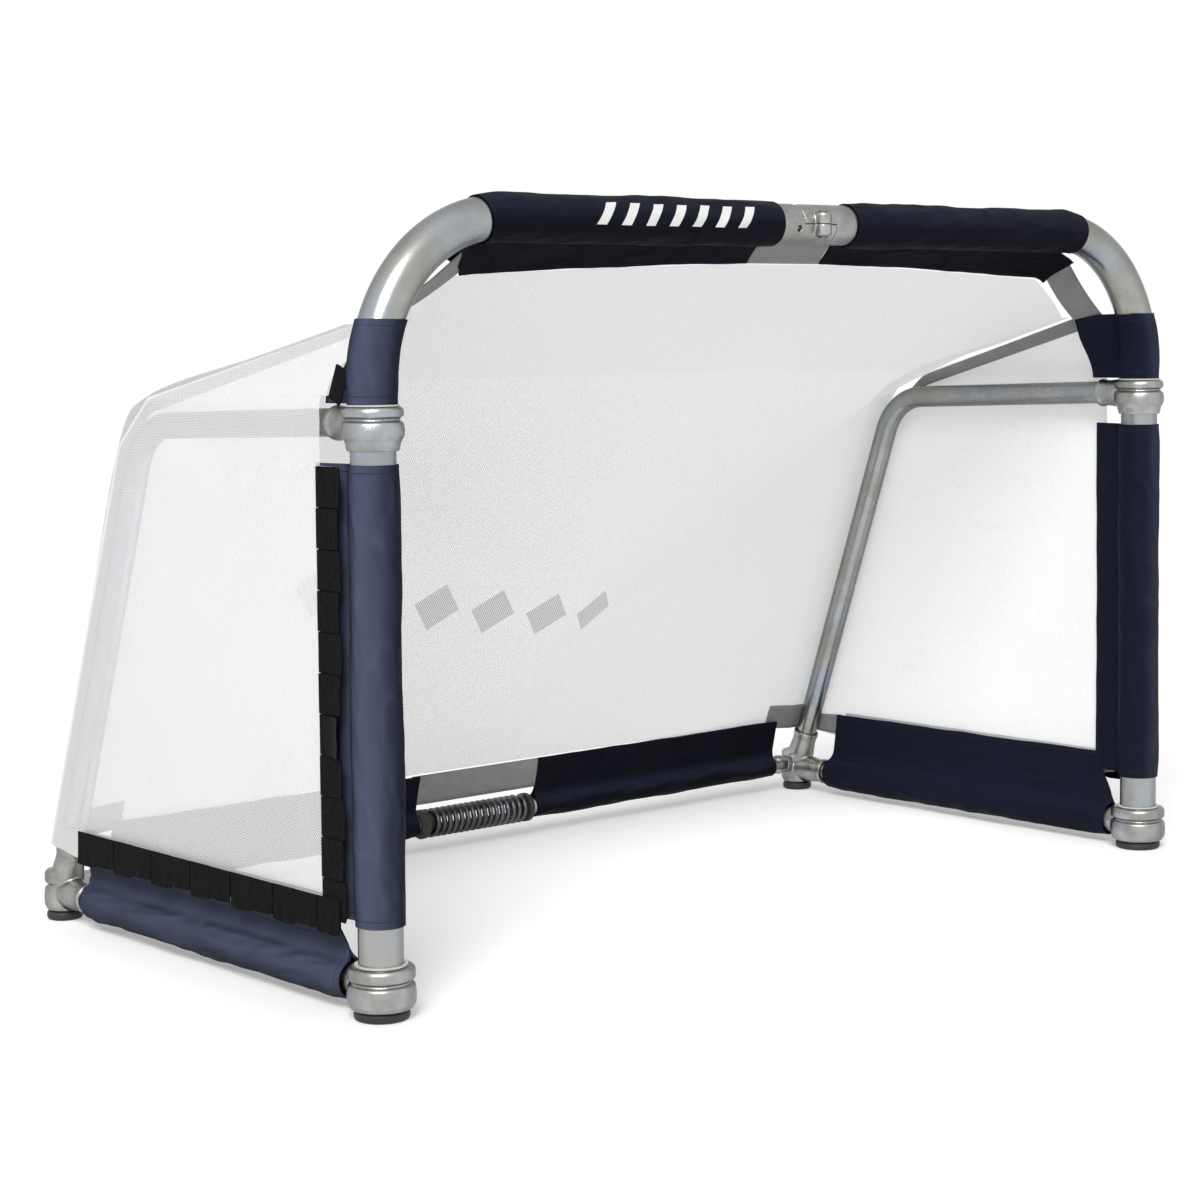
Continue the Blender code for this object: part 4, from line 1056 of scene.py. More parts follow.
@dataclass(frozen=True)
class Ribbon:
    """A narrow tape between two edge lines."""

    name: str
    first: Sequence[Vector]
    second: Sequence[Vector]
    width_steps: int = 6
    cup: Vector = at(0, 0, 0)

    def build(self) -> bpy.types.Object:
        """Make the tape.

        Returns:
            The tape, its length and width as cloth coordinates.
        """
        rows, spots, run = [], [], 0.0
        for i, (a, b) in enumerate(zip(self.first, self.second)):
            run += ((a + b) / 2 - (self.first[i - 1] + self.second[i - 1]) / 2).length if i else 0.0
            steps = range(self.width_steps + 1)
            rows.append([a.lerp(b, k / self.width_steps) + self.cup * math.sin(math.pi * k / self.width_steps)
                         for k in steps])
            spots.append([(run, (b - a).length * k / self.width_steps) for k in steps])
        tape = grid(self.name, rows, spots)
        body = tape.modifiers.new("body", "SOLIDIFY")
        body.thickness, body.offset = 0.0009, 0.0
        return settle(tape)


def spline(points: Sequence[Vector], steps: int) -> list[Vector]:
    """A smooth line through control points.

    Args:
        points: control points.
        steps: points on each stretch between two of them.

    Returns:
        The points of the line, both ends included.
    """
    line = []
    for i in range(len(points) - 1):
        before, after = points[max(i - 1, 0)], points[min(i + 2, len(points) - 1)]
        for k in range(steps):
            t = k / steps
            line.append(0.5 * (2 * points[i] + (points[i + 1] - before) * t
                               + (2 * before - 5 * points[i] + 4 * points[i + 1] - after) * t * t
                               + (3 * points[i] - before - 3 * points[i + 1] + after) * t ** 3))
    return [*line, points[-1].copy()]


def spaced(line: Sequence[Vector], count: int) -> list[Vector]:
    """Points at even distances along a line."""
    runs = [0.0]
    for a, b in zip(line, line[1:]):
        runs.append(runs[-1] + (b - a).length)
    points, j = [], 0
    for i in range(count + 1):
        want = runs[-1] * i / count
        while j < len(runs) - 2 and runs[j + 1] < want:
            j += 1
        span = runs[j + 1] - runs[j]
        points.append(line[j].lerp(line[j + 1], (want - runs[j]) / span if span else 0.0))
    return points


# Sub-assemblies


@dataclass(frozen=True)
class Assembly:
    """Pieces that ride on the bodies of one side of the goal."""

    side: Side
    sizes: GoalSizes = SIZES

    @property
    def label(self) -> str:
        """Name that the CAD nodes and bodies of this side start with."""
        return self.side.name.lower()

    @property
    def s(self) -> int:
        """Sign of this side's x."""
        return self.side.value

    @property
    def x(self) -> float:
        """Place of this side frame's plane."""
        return self.s * self.sizes.post_x


@dataclass(frozen=True)
class FrontHalf(Assembly):
    """One post with its half of the crossbar, its cover and its half of the hinge."""

    casting_end: float = 0.078
    lap: float = 0.03
    lap_clear: float = 0.07
    pin_r: float = 0.0045
    eye_r: float = 0.0115
    eye_near: float = 0.016
    eye_far: float = 0.02
    notch_r: float = 0.0085
    screw_r: float = 0.0042
    screw_turn: float = math.radians(14)
    foot_z: float = 0.0208
    cover_start: float = 0.07
    cover_length: float = 0.49
    webbing_width: float = 0.02
    webbing_bow: float = 0.003

    @property
    def flare(self) -> float:
        """How far the outer corner of the cover's tail stands out past its sleeve."""
        return 0.022 if self.side is Side.RIGHT else -0.008

    def tube(self) -> bpy.types.Object:
        """Bent tube from the foot's bearing to the hinge."""
        z = self.sizes
        line = [point for point in z.front_line(self.side)
                if abs(point.x) > self.casting_end + 0.005 and point.z > 0.03]
        middle = at(self.s * (self.casting_end + z.gap), 0, z.crossbar_z)
        return sweep(self.label + "_post_bar", [middle, *line, at(self.x, 0, self.foot_z)], z.main_r, 72)

    def cover(self) -> bpy.types.Object:
        """Cloth sleeve on the crossbar."""
        z = self.sizes
        return Sleeve(self.label + "_crossbar_sleeve", z.front_line(self.side), z.crossbar_lean, self.cover_length,
                      z.main_r, z.tail, seed=2.0 + self.s, run_start=self.cover_start, slack=0.0022, wave=0.0018,
                      shifts=(0.0, self.flare), swell=0.052, narrow=z.tail_rise).build()

    def corner_webbing(self) -> bpy.types.Object:
        """Webbing that crosses the corner between the crossbar cover and the post cover."""
        top = self.cover_start + self.cover_length + self.flare - 0.012
        steps, edges = 16, []
        for start, end in ((at(top, 0.061, 0.872), at(0.668, 0.078, 0.801)),
                           (at(top + self.webbing_width, 0.033, 0.894), at(0.696, 0.044, 0.806))):
            edges.append([])
            for i in range(steps + 1):
                bow = self.webbing_bow * math.sin(math.pi * (i / steps))
                edges[-1].append((start.lerp(end, i / steps) - at(bow, 0, bow)) * at(self.s, 1, 1))
        return Ribbon(self.label + "_corner_webbing", *edges).build()

    def hinge(self) -> bpy.types.Object:
        """Half-lap casting with its eye in front of the bar."""
        z, s, clear = self.sizes, self.s, self.lap_clear
        left = self.side is Side.LEFT
        middle = at(0, 0, z.crossbar_z)
        casting = Casting(self.label + "_hinge_half", voxel=0.0009, smoothing=6)
        casting.rod(z.main_r, middle - ACROSS * s * self.lap, middle + ACROSS * s * self.casting_end)
        low, high = (-self.eye_near, self.eye_far) if left else (-self.eye_far, self.eye_near)
        pin = middle - BACK * z.pin_offset
        casting.turned(rounded_profile([(0, low), (self.eye_r, low), (self.eye_r, high), (0, high)], 0.005), pin)
        low, high = (-z.gap / 2, 0.06) if left else (-0.06, z.gap / 2)
        casting.block(middle + at(s * (self.lap + z.gap), -clear, low),
                      middle + at(-s * clear, clear, high), cut=True)
        casting.upright(self.pin_r, pin, 0.05, cut=True)
        notch = at(-self.lap + 0.004, 0, z.crossbar_z + z.main_r + 0.0022)
        casting.rod(self.notch_r, notch - BACK * 0.06, notch + BACK * 0.06, cut=True)
        if left:
            screw = middle - ACROSS * 0.04
            out = at(0, -math.cos(self.screw_turn), -math.sin(self.screw_turn))
            casting.rod(self.screw_r, screw + out * 0.0195, screw + out * 0.05, cut=True)
        return casting.build()

    def build(self, fitter: Fitter) -> None:
        """Make the pieces and hang them on the front body of this half."""
        label, body = self.label, self.label + "_front"
        fitter.fit(self.tube(), "tube", "tube", body, label + "_post_tube")
        fitter.fit(self.hinge(), "casting", "casting", body, label + "_hinge_casting")
        # The crossbar covers take the darker copy of the navy cloth, which paints their shade.
        cover = "marked_cover" if self.side is Side.LEFT else "bar_cover"
        fitter.fit(self.cover(), cover, "cover", body, label + "_crossbar_cover")
        fitter.fit(self.corner_webbing(), "webbing", "webbing", body)


@dataclass(frozen=True)
class SideFrame(Assembly):
    """One side frame: collars, tubes, rear corner, feet, covers, net, tape and fastening strips."""

    collar_height: float = 0.0405
    collar_r: float = 0.0372
    foot_collar_height: float = 0.0505
    foot_collar_r: float = 0.0412
    rear_r: float = 0.0275
    rear_height: float = 0.056
    lug_r: float = 0.012
    lug_half: float = 0.0124
    slot_half: float = 0.0066
    tab_pitch: float = 0.047
    net_front: float = 0.052
    net_low: float = 0.11

    @property
    def collar_low(self) -> float:
        """Height of the upper collar's lower edge."""
        return self.sizes.arm_z - self.collar_height / 2

    @property
    def collar_high(self) -> float:
        """Height of the upper collar's upper edge."""
        return self.sizes.arm_z + self.collar_height / 2

    @property
    def pivot(self) -> Vector:
        """Middle of the rear corner's pin."""
        return at(self.s * self.sizes.pivot_x, self.sizes.rear_depth, self.sizes.back_z)

    def ring_outline(self, radius: float, bottom: float, height: float) -> list[tuple[float, float]]:
        """Outline of a cast ring: a narrow band above a groove, and a fuller one below it."""
        groove, top = bottom + height * 0.64, bottom + height
        waist, band = radius - 0.0062, radius - 0.0010
        corners = [(0, bottom), (radius - 0.0045, bottom), (radius - 0.0005, bottom + height * 0.14),
                   (radius, bottom + height * 0.34), (radius - 0.0012, groove - 0.004), (waist, groove - 0.0012),
                   (waist, groove + 0.0012), (band, groove + 0.003), (band, top - 0.004), (radius - 0.0042, top),
                   (0, top)]
        return rounded_profile(corners, 0.0022)

    def socket(self, casting: Casting, base: Vector, axis: Vector) -> None:
        """Add a tapering socket with a rolled lip, and cut its bore."""
        z = self.sizes
        outer = z.side_r + 0.0028
        outline = [(0, 0), (outer + 0.0035, 0.0), (outer + 0.002, 0.034), (outer, 0.05), (outer, 0.0605),
                   (outer + 0.0012, 0.0625), (outer + 0.0012, z.socket_length), (0, z.socket_length)]
        casting.turned(rounded_profile(outline, 0.0012), base, axis)
        casting.rod(z.side_r + 0.0004, base + axis * (z.socket_length - z.socket_depth),
                    base + axis * (z.socket_length + 0.01), cut=True)

    def collar(self, name: str, radius: float, bottom: float, height: float, floor: float, level: float,
               skirt: float) -> bpy.types.Object:
        """A cast collar round the post.

        Args:
            name: piece name.
            radius: outer radius of the ring.
            bottom: height of its lower edge.
            height: height of the ring.
            floor: where the post's bore starts.
            level: height of the socket's axis.
            skirt: length of the cone under the ring.

        Returns:
            The collar.
        """
        casting, bore = Casting(name), self.sizes.bearing_r
        foot = at(self.x, 0, 0)
        casting.turned(self.ring_outline(radius, bottom, height), foot)
        if skirt:
            casting.turned([(bore + 0.0018, bottom - skirt), (bore + 0.005, bottom + 0.004)], foot)
        self.socket(casting, at(self.x, 0, level), BACK)
        casting.rod(bore + 0.0004, at(self.x, 0, floor), at(self.x, 0, bottom + height + 0.02), cut=True)
        return casting.build()

    def rear_corner(self) -> bpy.types.Object:
        """Casting that joins leg and ground bar and carries the back bar's pin."""
        z = self.sizes
        casting = Casting(self.label + "_rear_joint", voxel=0.001)
        base = at(self.x, z.rear_depth, 0)
        casting.turned(self.ring_outline(self.rear_r, z.casting_floor, self.rear_height), base)
        rear = at(self.x, z.rear_depth, z.ground_z)
        for axis in (z.leg, -BACK):
            self.socket(casting, rear, axis)
        pivot, half, wide = self.pivot, self.lug_half, 0.03
        casting.upright(self.lug_r, pivot, half)
        casting.block(pivot - at(0, self.lug_r, half), at(self.x, pivot.y + self.lug_r, pivot.z + half))
        casting.block(pivot - at(self.s * 0.02, wide, self.slot_half),
                      pivot + at(self.s * 0.0148, wide, self.slot_half), cut=True)
        casting.upright(0.004, pivot, wide, cut=True)
        return casting.build()

    def metal(self, fitter: Fitter) -> None:
        """Collars, rear corner, tubes, bushes, pins and feet."""
        z, label, body = self.sizes, self.label, self.label + "_side"
        upper = self.collar(label + "_arm_collar", self.collar_r, self.collar_low, self.collar_height,
                            self.collar_low - 0.03, z.arm_z, 0.011)
        fitter.fit(upper, "casting", "casting", body, label + "_upper_collar")
        lower = self.collar(label + "_base_collar", self.foot_collar_r, z.casting_floor, self.foot_collar_height,
                            z.casting_floor + 0.008, z.ground_z, 0.0)
        fitter.fit(lower, "casting", "casting", body, label + "_foot_collar")
        fitter.fit(self.rear_corner(), "casting", "casting", body, label + "_rear_corner")
        run = z.socket_length - z.socket_depth + z.gap
        start = at(self.x, run, z.arm_z)
        level = at(self.x, z.socket_length + 0.02, z.arm_z)
        corner = at(self.x, z.arm_reach, z.arm_z - z.arm_fall)
        rear = at(self.x, z.rear_depth, z.ground_z)
        arc = rounded_corner(level, corner, rear, z.arm_bend_r, 24)
        end = rear + z.leg * run
        path = [start, level, *straight(level, arc[0])[1:-1], *arc, *straight(arc[-1], end)[1:]]
        fitter.fit(sweep(label + "_arm_and_leg", path, z.side_r), "tube", "tube", body, label + "_side_tube")
        bar = straight(at(self.x, run, z.ground_z), at(self.x, z.rear_depth - run, z.ground_z))
        fitter.fit(sweep(label + "_ground_bar", bar, z.side_r), "tube", "tube", body, label + "_ground_tube")
        self._small_parts(fitter)

    def _small_parts(self, fitter: Fitter) -> None:
        """Bushes, the rear pin and the rubber feet."""
        z, label, body = self.sizes, self.label, self.label + "_side"
        post = at(self.x, 0, 0)
        for name, low, high in (("upper_bush", self.collar_low, self.collar_high),
                                ("lower_bush", z.casting_floor + 0.0084, z.casting_floor + self.foot_collar_height)):
            inner, outer = z.main_r + 0.0003, z.bearing_r + 0.0028
            outline = [(inner, low), (z.bearing_r, low), (z.bearing_r, high + z.gap), (outer, high + z.gap),
                       (outer, high + 0.0022), (inner, high + 0.0022), (inner, low)]
            bm = bmesh.new()
            turn_profile(bm, outline, post, UP, 64)
            caps = [face for face in bm.faces if len(face.verts) > 4]
            bmesh.ops.delete(bm, geom=caps, context="FACES_ONLY")
            bmesh.ops.remove_doubles(bm, verts=bm.verts, dist=1e-6)
            bmesh.ops.recalc_face_normals(bm, faces=bm.faces)
            fitter.fit(new_object(f"{label}_{name}_ring", bm), "nylon", "bush", body, f"{label}_{name}")
        pin = [(0, -0.0153), (0.0045, -0.0153), (0.0065, -0.0138), (0.0065, -0.0128), (0.0035, -0.0128),
               (0.0035, 0.0128), (0.0065, 0.0128), (0.0065, 0.0138), (0.0045, 0.0153), (0, 0.0153)]
        fitter.fit(turned(label + "_corner_pin", pin, self.pivot), "pin", "pin", body, label + "_rear_pin")
        for name, radius, back in (("post_foot", self.foot_collar_r - 0.008, 0.0),
                                   ("rear_foot", 0.0243, z.rear_depth)):
            outline = rounded_profile([(0, 0), (radius - 0.002, 0), (radius, 0.003), (radius, 0.009),
                                       (radius - 0.0025, 0.012), (0, 0.012)], 0.002)
            foot = turned(f"{label}_{name}_pad", outline, at(self.x, back, 0))
            fitter.fit(foot, "rubber", "foot_rubber", body, f"{label}_{name}")

    def covers(self, fitter: Fitter) -> None:
        """Sleeves on the post and on the ground bar."""
        z, s, label, body = self.sizes, self.s, self.label, self.label + "_side"
        lean = math.asin(z.tail_offset / z.tail)
        tail = at(s * math.sin(lean), math.cos(lean), 0)
        line = z.front_line(self.side)[::-1]
        length = self.collar_low - 0.0265 - self.net_low
        lower = Sleeve(label + "_lower_post_sleeve", line, tail, length, z.main_r, z.tail, seed=4.0 + s,
                       run_start=self.net_low, slack=0.0018)
        fitter.fit(lower.build(), "cover", "cover", body, label + "_lower_post_cover")
        bottom = self.collar_high + 0.0026
        inward = at(s * 0.02, 0.99, 0)
        upper = Sleeve(label + "_upper_post_sleeve", line, inward, 0.0995, z.main_r, z.tail - 0.004, seed=6.0 + s,
                       run_start=bottom, tail_end=at(-s * 0.53, 0.85, 0), slack=0.0012, row_step=0.003,
                       level=at(-s * 0.38, 0, 0))
        piece = fitter.fit(upper.build(), "cover", "cover", None, label + "_upper_post_cover")
        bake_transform(piece)
        lean = math.asin(z.tail_offset / z.ground_tail)
        start, end = z.tail + 0.003, z.rear_depth - 0.083
        bar = [at(self.x, 0, z.ground_z), at(self.x, z.rear_depth, z.ground_z)]
        sleeve = Sleeve(label + "_ground_sleeve", bar, at(s * math.sin(lean), 0, math.cos(lean)),
                        end - start + 0.043, z.side_r + 0.0052, z.ground_tail, seed=8.0 + s,
                        run_start=start - 0.043, slack=0.003, wave=0.003, shifts=(0.034, 0.0))
        fitter.fit(sleeve.build(), "cover", "cover", body, label + "_ground_cover")

    def net(self, fitter: Fitter) -> None:
        """Side panel of the net."""
        z = self.sizes
        seam = z.seam()
        hem = z.ground_z + z.ground_tail - 0.04
        edge = [*seam, at(z.rear_depth - 0.075, hem)]
        notch = (self.collar_low - 0.0295, self.collar_high + 0.012)
        heights = sorted({*(hem + (seam[0].y - hem) * i / 72 for i in range(73)), notch[0], notch[0] + 0.0002,
                          notch[1], notch[1] + 0.0002, *(point.y for point in edge)})
        rows, spots = [], []
        for height in heights:
            for a, b in zip(edge, edge[1:]):
                if b.y - 1e-6 <= height <= a.y + 1e-6:
                    rear = b.x + (a.x - b.x) * (height - b.y) / (a.y - b.y)
                    break
            front = self.net_front + 0.05 * smooth_step((self.net_low - height) / (self.net_low - hem))
            if notch[0] < height < notch[1] + 0.0001:
                front = 0.076
            row, spot = [], []
            for i in range(61):
                y = front + (rear - front) * i / 60
                inside = min(height - hem, seam[0].y - height, y - front, rear - y)
                out = 0.0012 + 0.0028 * smooth_step(inside / 0.1) * (0.5 + ripple(y * 5, height * 5, seed=self.x))
                out += 0.0010 * (1 - smooth_step(inside / 0.06)) * ripple(y * 60, height * 60, seed=3.0)
                low = z.arm_z + z.side_r + 0.003
                share = clamp((height - low) / max(z.seam_height(y) - low, 0.004))
                out -= z.pull(y) * share ** 1.4
                row.append(at(self.s * (z.post_x + z.net_offset + out), y, height))
                spot.append((y, height))
            rows.append(row)
            spots.append(spot)
        panel = grid(self.label + "_side_netting", rows, spots)
        fitter.fit(panel, "net", "net", self.label + "_side", self.label + "_side_net")

    def seam_tape(self, fitter: Fitter) -> None:
        """Webbing along the seam of side net and back net."""
        z, s = self.sizes, self.s
        lines = []
        for drop in (0.002, 0.020):
            points = z.seam(drop)
            points[0] = at(z.tail - 0.012, points[0].y - 0.004)
            flat = [at(0, point.x, point.y) for point in points]
            bend = rounded_corner(flat[0], flat[1], flat[2], 0.05, 6)
            second = rounded_corner(flat[1], flat[2], flat[3], 0.03, 6)
            line = spaced([flat[0], *bend, *second, flat[3]], 90)
            for point in line:
                ease = 1.0 if drop < 0.01 else 0.72
                point.x = s * (z.post_x + z.net_offset - 0.0014 - z.pull(point.y) * ease)
            lines.append(line)
        tape = Ribbon(self.label + "_seam_webbing", lines[0], lines[1], cup=at(-s * 0.0008, 0, 0)).build()
        fitter.fit(tape, "webbing", "webbing", self.label + "_side", self.label + "_seam_tape")

    def hem_tape(self, fitter: Fitter) -> None:
        """Webbing on the net's lower corner, from the leg to the ground cover."""
        z = self.sizes
        face = self.s * (z.post_x + z.net_offset - 0.0016)
        top = straight(at(face, 0.636, 0.135), at(face, 0.704, 0.131), 0.01)
        low = straight(at(face, 0.636, 0.101), at(face, 0.712, 0.103), 0.01)[:len(top)]
        tape = Ribbon(self.label + "_corner_hem_webbing", top, low).build()
        fitter.fit(tape, "webbing", "webbing", self.label + "_side")

    def strip(self, name: str, start: Vector, run: Vector, across: Vector, length: float,
              tab_width: float = 0.048, loose: bool = False) -> bpy.types.Object:
        """A row of hook-and-loop tabs that folds over the edge of the net.

        Args:
            name: piece name.
            start: end of the row at the strip's straight edge, on the net's outer face.
            run: direction of the row.
            across: direction from the straight edge to the tabs' free ends.
            length: length of the row.
            tab_width: width of the widest tabs.
            loose: lets a few tabs stand out from the net.

        Returns:
            The strip.
        """
        out = at(self.s, 0, 0)
        bm = bmesh.new()
        layers = [bm.loops.layers.uv.new("cloth"), bm.loops.layers.uv.new("hem")]
        band = [[bm.verts.new(start + out * depth + run * along + across * wide) for along, wide in (
            (0.0, 0.001), (length, 0.001), (length, tab_width - 0.013), (0.0, tab_width - 0.013))]
            for depth in (0.00005, 0.00035)]
        bm.faces.new(band[0])
        bm.faces.new(band[1])
        for k in range(4):
            bm.faces.new((band[0][k - 1], band[0][k], band[1][k], band[1][k - 1]))
        tabs = max(1, round(length / self.tab_pitch))
        pitch = length / tabs
        for i in range(tabs):
            width = tab_width - 0.004 * (i % 2) - 0.0015 * (1 + ripple(i * 3.1, seed=5))
            flare = 0.010 * (loose and i % 7 == 4)
            low, high = pitch * i + 0.0006, pitch * (i + 1) - 0.0006
            lift = 0.0006 * (i % 2)
            columns, steps = 10, 12
            for layer, depth in ((0, 0.0004 + lift), (1, 0.0022 + lift)):
                verts = []
                for a in range(columns + 1):
                    line = []
                    for b in range(steps + 1):
                        along = low + (high - low) * b / steps
                        wide = width * a / columns
                        corner = 0.0018 * max(0.0, 1 - min(b, steps - b) / 1.5) if a == columns else 0.0
                        curl = (0.0018 * (0.6 + ripple(i * 2.3, b * 0.3, seed=2)) + flare) * (a / columns) ** 2
                        line.append(bm.verts.new(start + run * along + across * (wide - corner)
                                                 + out * (depth + max(0.0, curl))))
                    verts.append(line)
                for a in range(columns):
                    for b in range(steps):
                        bm.faces.new((verts[a][b], verts[a + 1][b], verts[a + 1][b + 1], verts[a][b + 1]))
                border = ([line[0] for line in verts] + verts[-1][1:] + [line[-1] for line in verts[-2::-1]]
                          + verts[0][-2:0:-1])
                if layer == 0:
                    under = border
                else:
                    for k in range(len(border)):
                        bm.faces.new((under[k - 1], under[k], border[k], border[k - 1]))
        for face in bm.faces:
            for loop in face.loops:
                spot = loop.vert.co - start
                for uv in layers:
                    loop[uv].uv = (spot.dot(run), spot.dot(across))
        bmesh.ops.recalc_face_normals(bm, faces=bm.faces)
        return new_object(name, bm, 40)

    def strips(self, fitter: Fitter) -> None:
        """Fastening strips of the lower post cover and the ground cover."""
        z, label, s = self.sizes, self.label, self.s
        face = s * (z.post_x + z.net_offset + 0.0045)
        post = self.strip(label + "_post_tabs", at(face, z.tail - 0.014, self.net_low), UP, -BACK,
                          self.collar_low - 0.0295 - self.net_low, 0.05, loose=True)
        fitter.fit(post, "strip", "strip", label + "_side", label + "_post_strip")
        start = z.tail - 0.052
        ground = self.strip(label + "_ground_tabs", at(face + s * 0.0032, start, z.ground_z + z.ground_tail),
                            BACK, -UP, z.rear_depth - 0.09 - start, 0.045)
        fitter.fit(ground, "strip", "strip", label + "_side", label + "_ground_strip")

    def corner_tab(self, fitter: Fitter) -> None:
        """Small tilted tab that fastens the net to the upper post cover."""
        face = self.s * (self.sizes.post_x + self.sizes.net_offset + 0.004)
        tilt = math.radians(24)
        up = at(0, -math.sin(tilt), math.cos(tilt))
        across = at(0, -math.cos(tilt), -math.sin(tilt))
        tab = self.strip(self.label + "_corner_tab", at(face, 0.051, 0.7245), up, across, 0.043, 0.028)
        fitter.fit(tab, "strip", "strip", self.label + "_side")

    def build(self, fitter: Fitter) -> None:
        """Make every piece of the side frame."""
        self.corner_tab(fitter)
        self.metal(fitter)
        self.covers(fitter)
        self.net(fitter)
        self.seam_tape(fitter)
        self.hem_tape(fitter)
        self.strips(fitter)


@dataclass(frozen=True)
class BackHalf(Assembly):
    """One half of the back bar: eye, tube, cover and spring plug."""

    plug_face: float = 0.0984
    eye_neck: float = 0.022
    cover_start: float = 0.1175
    cover_end: float = 0.652

    def eye(self) -> bpy.types.Object:
        """Cast eye that hangs on the rear corner's pin."""
        z, s = self.sizes, self.s
        pivot = at(s * z.pivot_x, z.rear_depth, z.back_z)
        neck = pivot - at(s * (self.eye_neck - z.gap), 0, 0)
        casting = Casting(self.label + "_bar_eye", voxel=0.0008, smoothing=3)
        casting.upright(0.011, pivot, 0.006)
        casting.block(pivot - at(0, 0.011, 0.006), at(neck.x, pivot.y + 0.011, pivot.z + 0.006))
        casting.turned(rounded_profile([(0, 0), (0.015, 0), (0.015, 0.0055), (0, 0.0055)], 0.0015), neck, ACROSS * s)
        casting.upright(0.0061, pivot, 0.03, cut=True)
        return casting.build()

    def build(self, fitter: Fitter) -> None:
        """Make the pieces and hang them on this half's back body."""
        z, s, label, body = self.sizes, self.s, self.label, self.label + "_back"
        axis = at(s, 0, 0)
        fitter.fit(self.eye(), "casting", "casting", body, label + "_back_eye")
        middle = at(0, z.rear_depth, z.back_z)
        bar = straight(middle + axis * (z.pivot_x - self.eye_neck), middle + axis * (self.plug_face + 0.0144))
        fitter.fit(sweep(label + "_back_bar", bar, z.back_r), "tube", "tube", body, label + "_back_tube")
        outline = [(0, -0.022), (0.0125, -0.022), (0.0145, -0.02), (0.0145, 0), (0.0225, 0), (0.0225, 0.0084),
                   (0.016, 0.014), (0, 0.014)]
        plug = turned(label + "_bar_plug", rounded_profile(outline, 0.0012), middle + axis * self.plug_face, axis)
        fitter.fit(plug, "rubber", "plug", body, label + "_spring_plug")
        sleeve = Sleeve(label + "_back_sleeve", [middle, middle + axis * z.pivot_x], z.back_tail_lean,
                        self.cover_end - self.cover_start, z.back_r, z.back_tail, seed=12.0 + s,
                        run_start=self.cover_start, slack=0.0026, wave=0.0022)
        # The back cover takes the darker copy of the navy cloth, which paints its shade.
        fitter.fit(sleeve.build(), "bar_cover", "cover", body, label + "_back_cover")


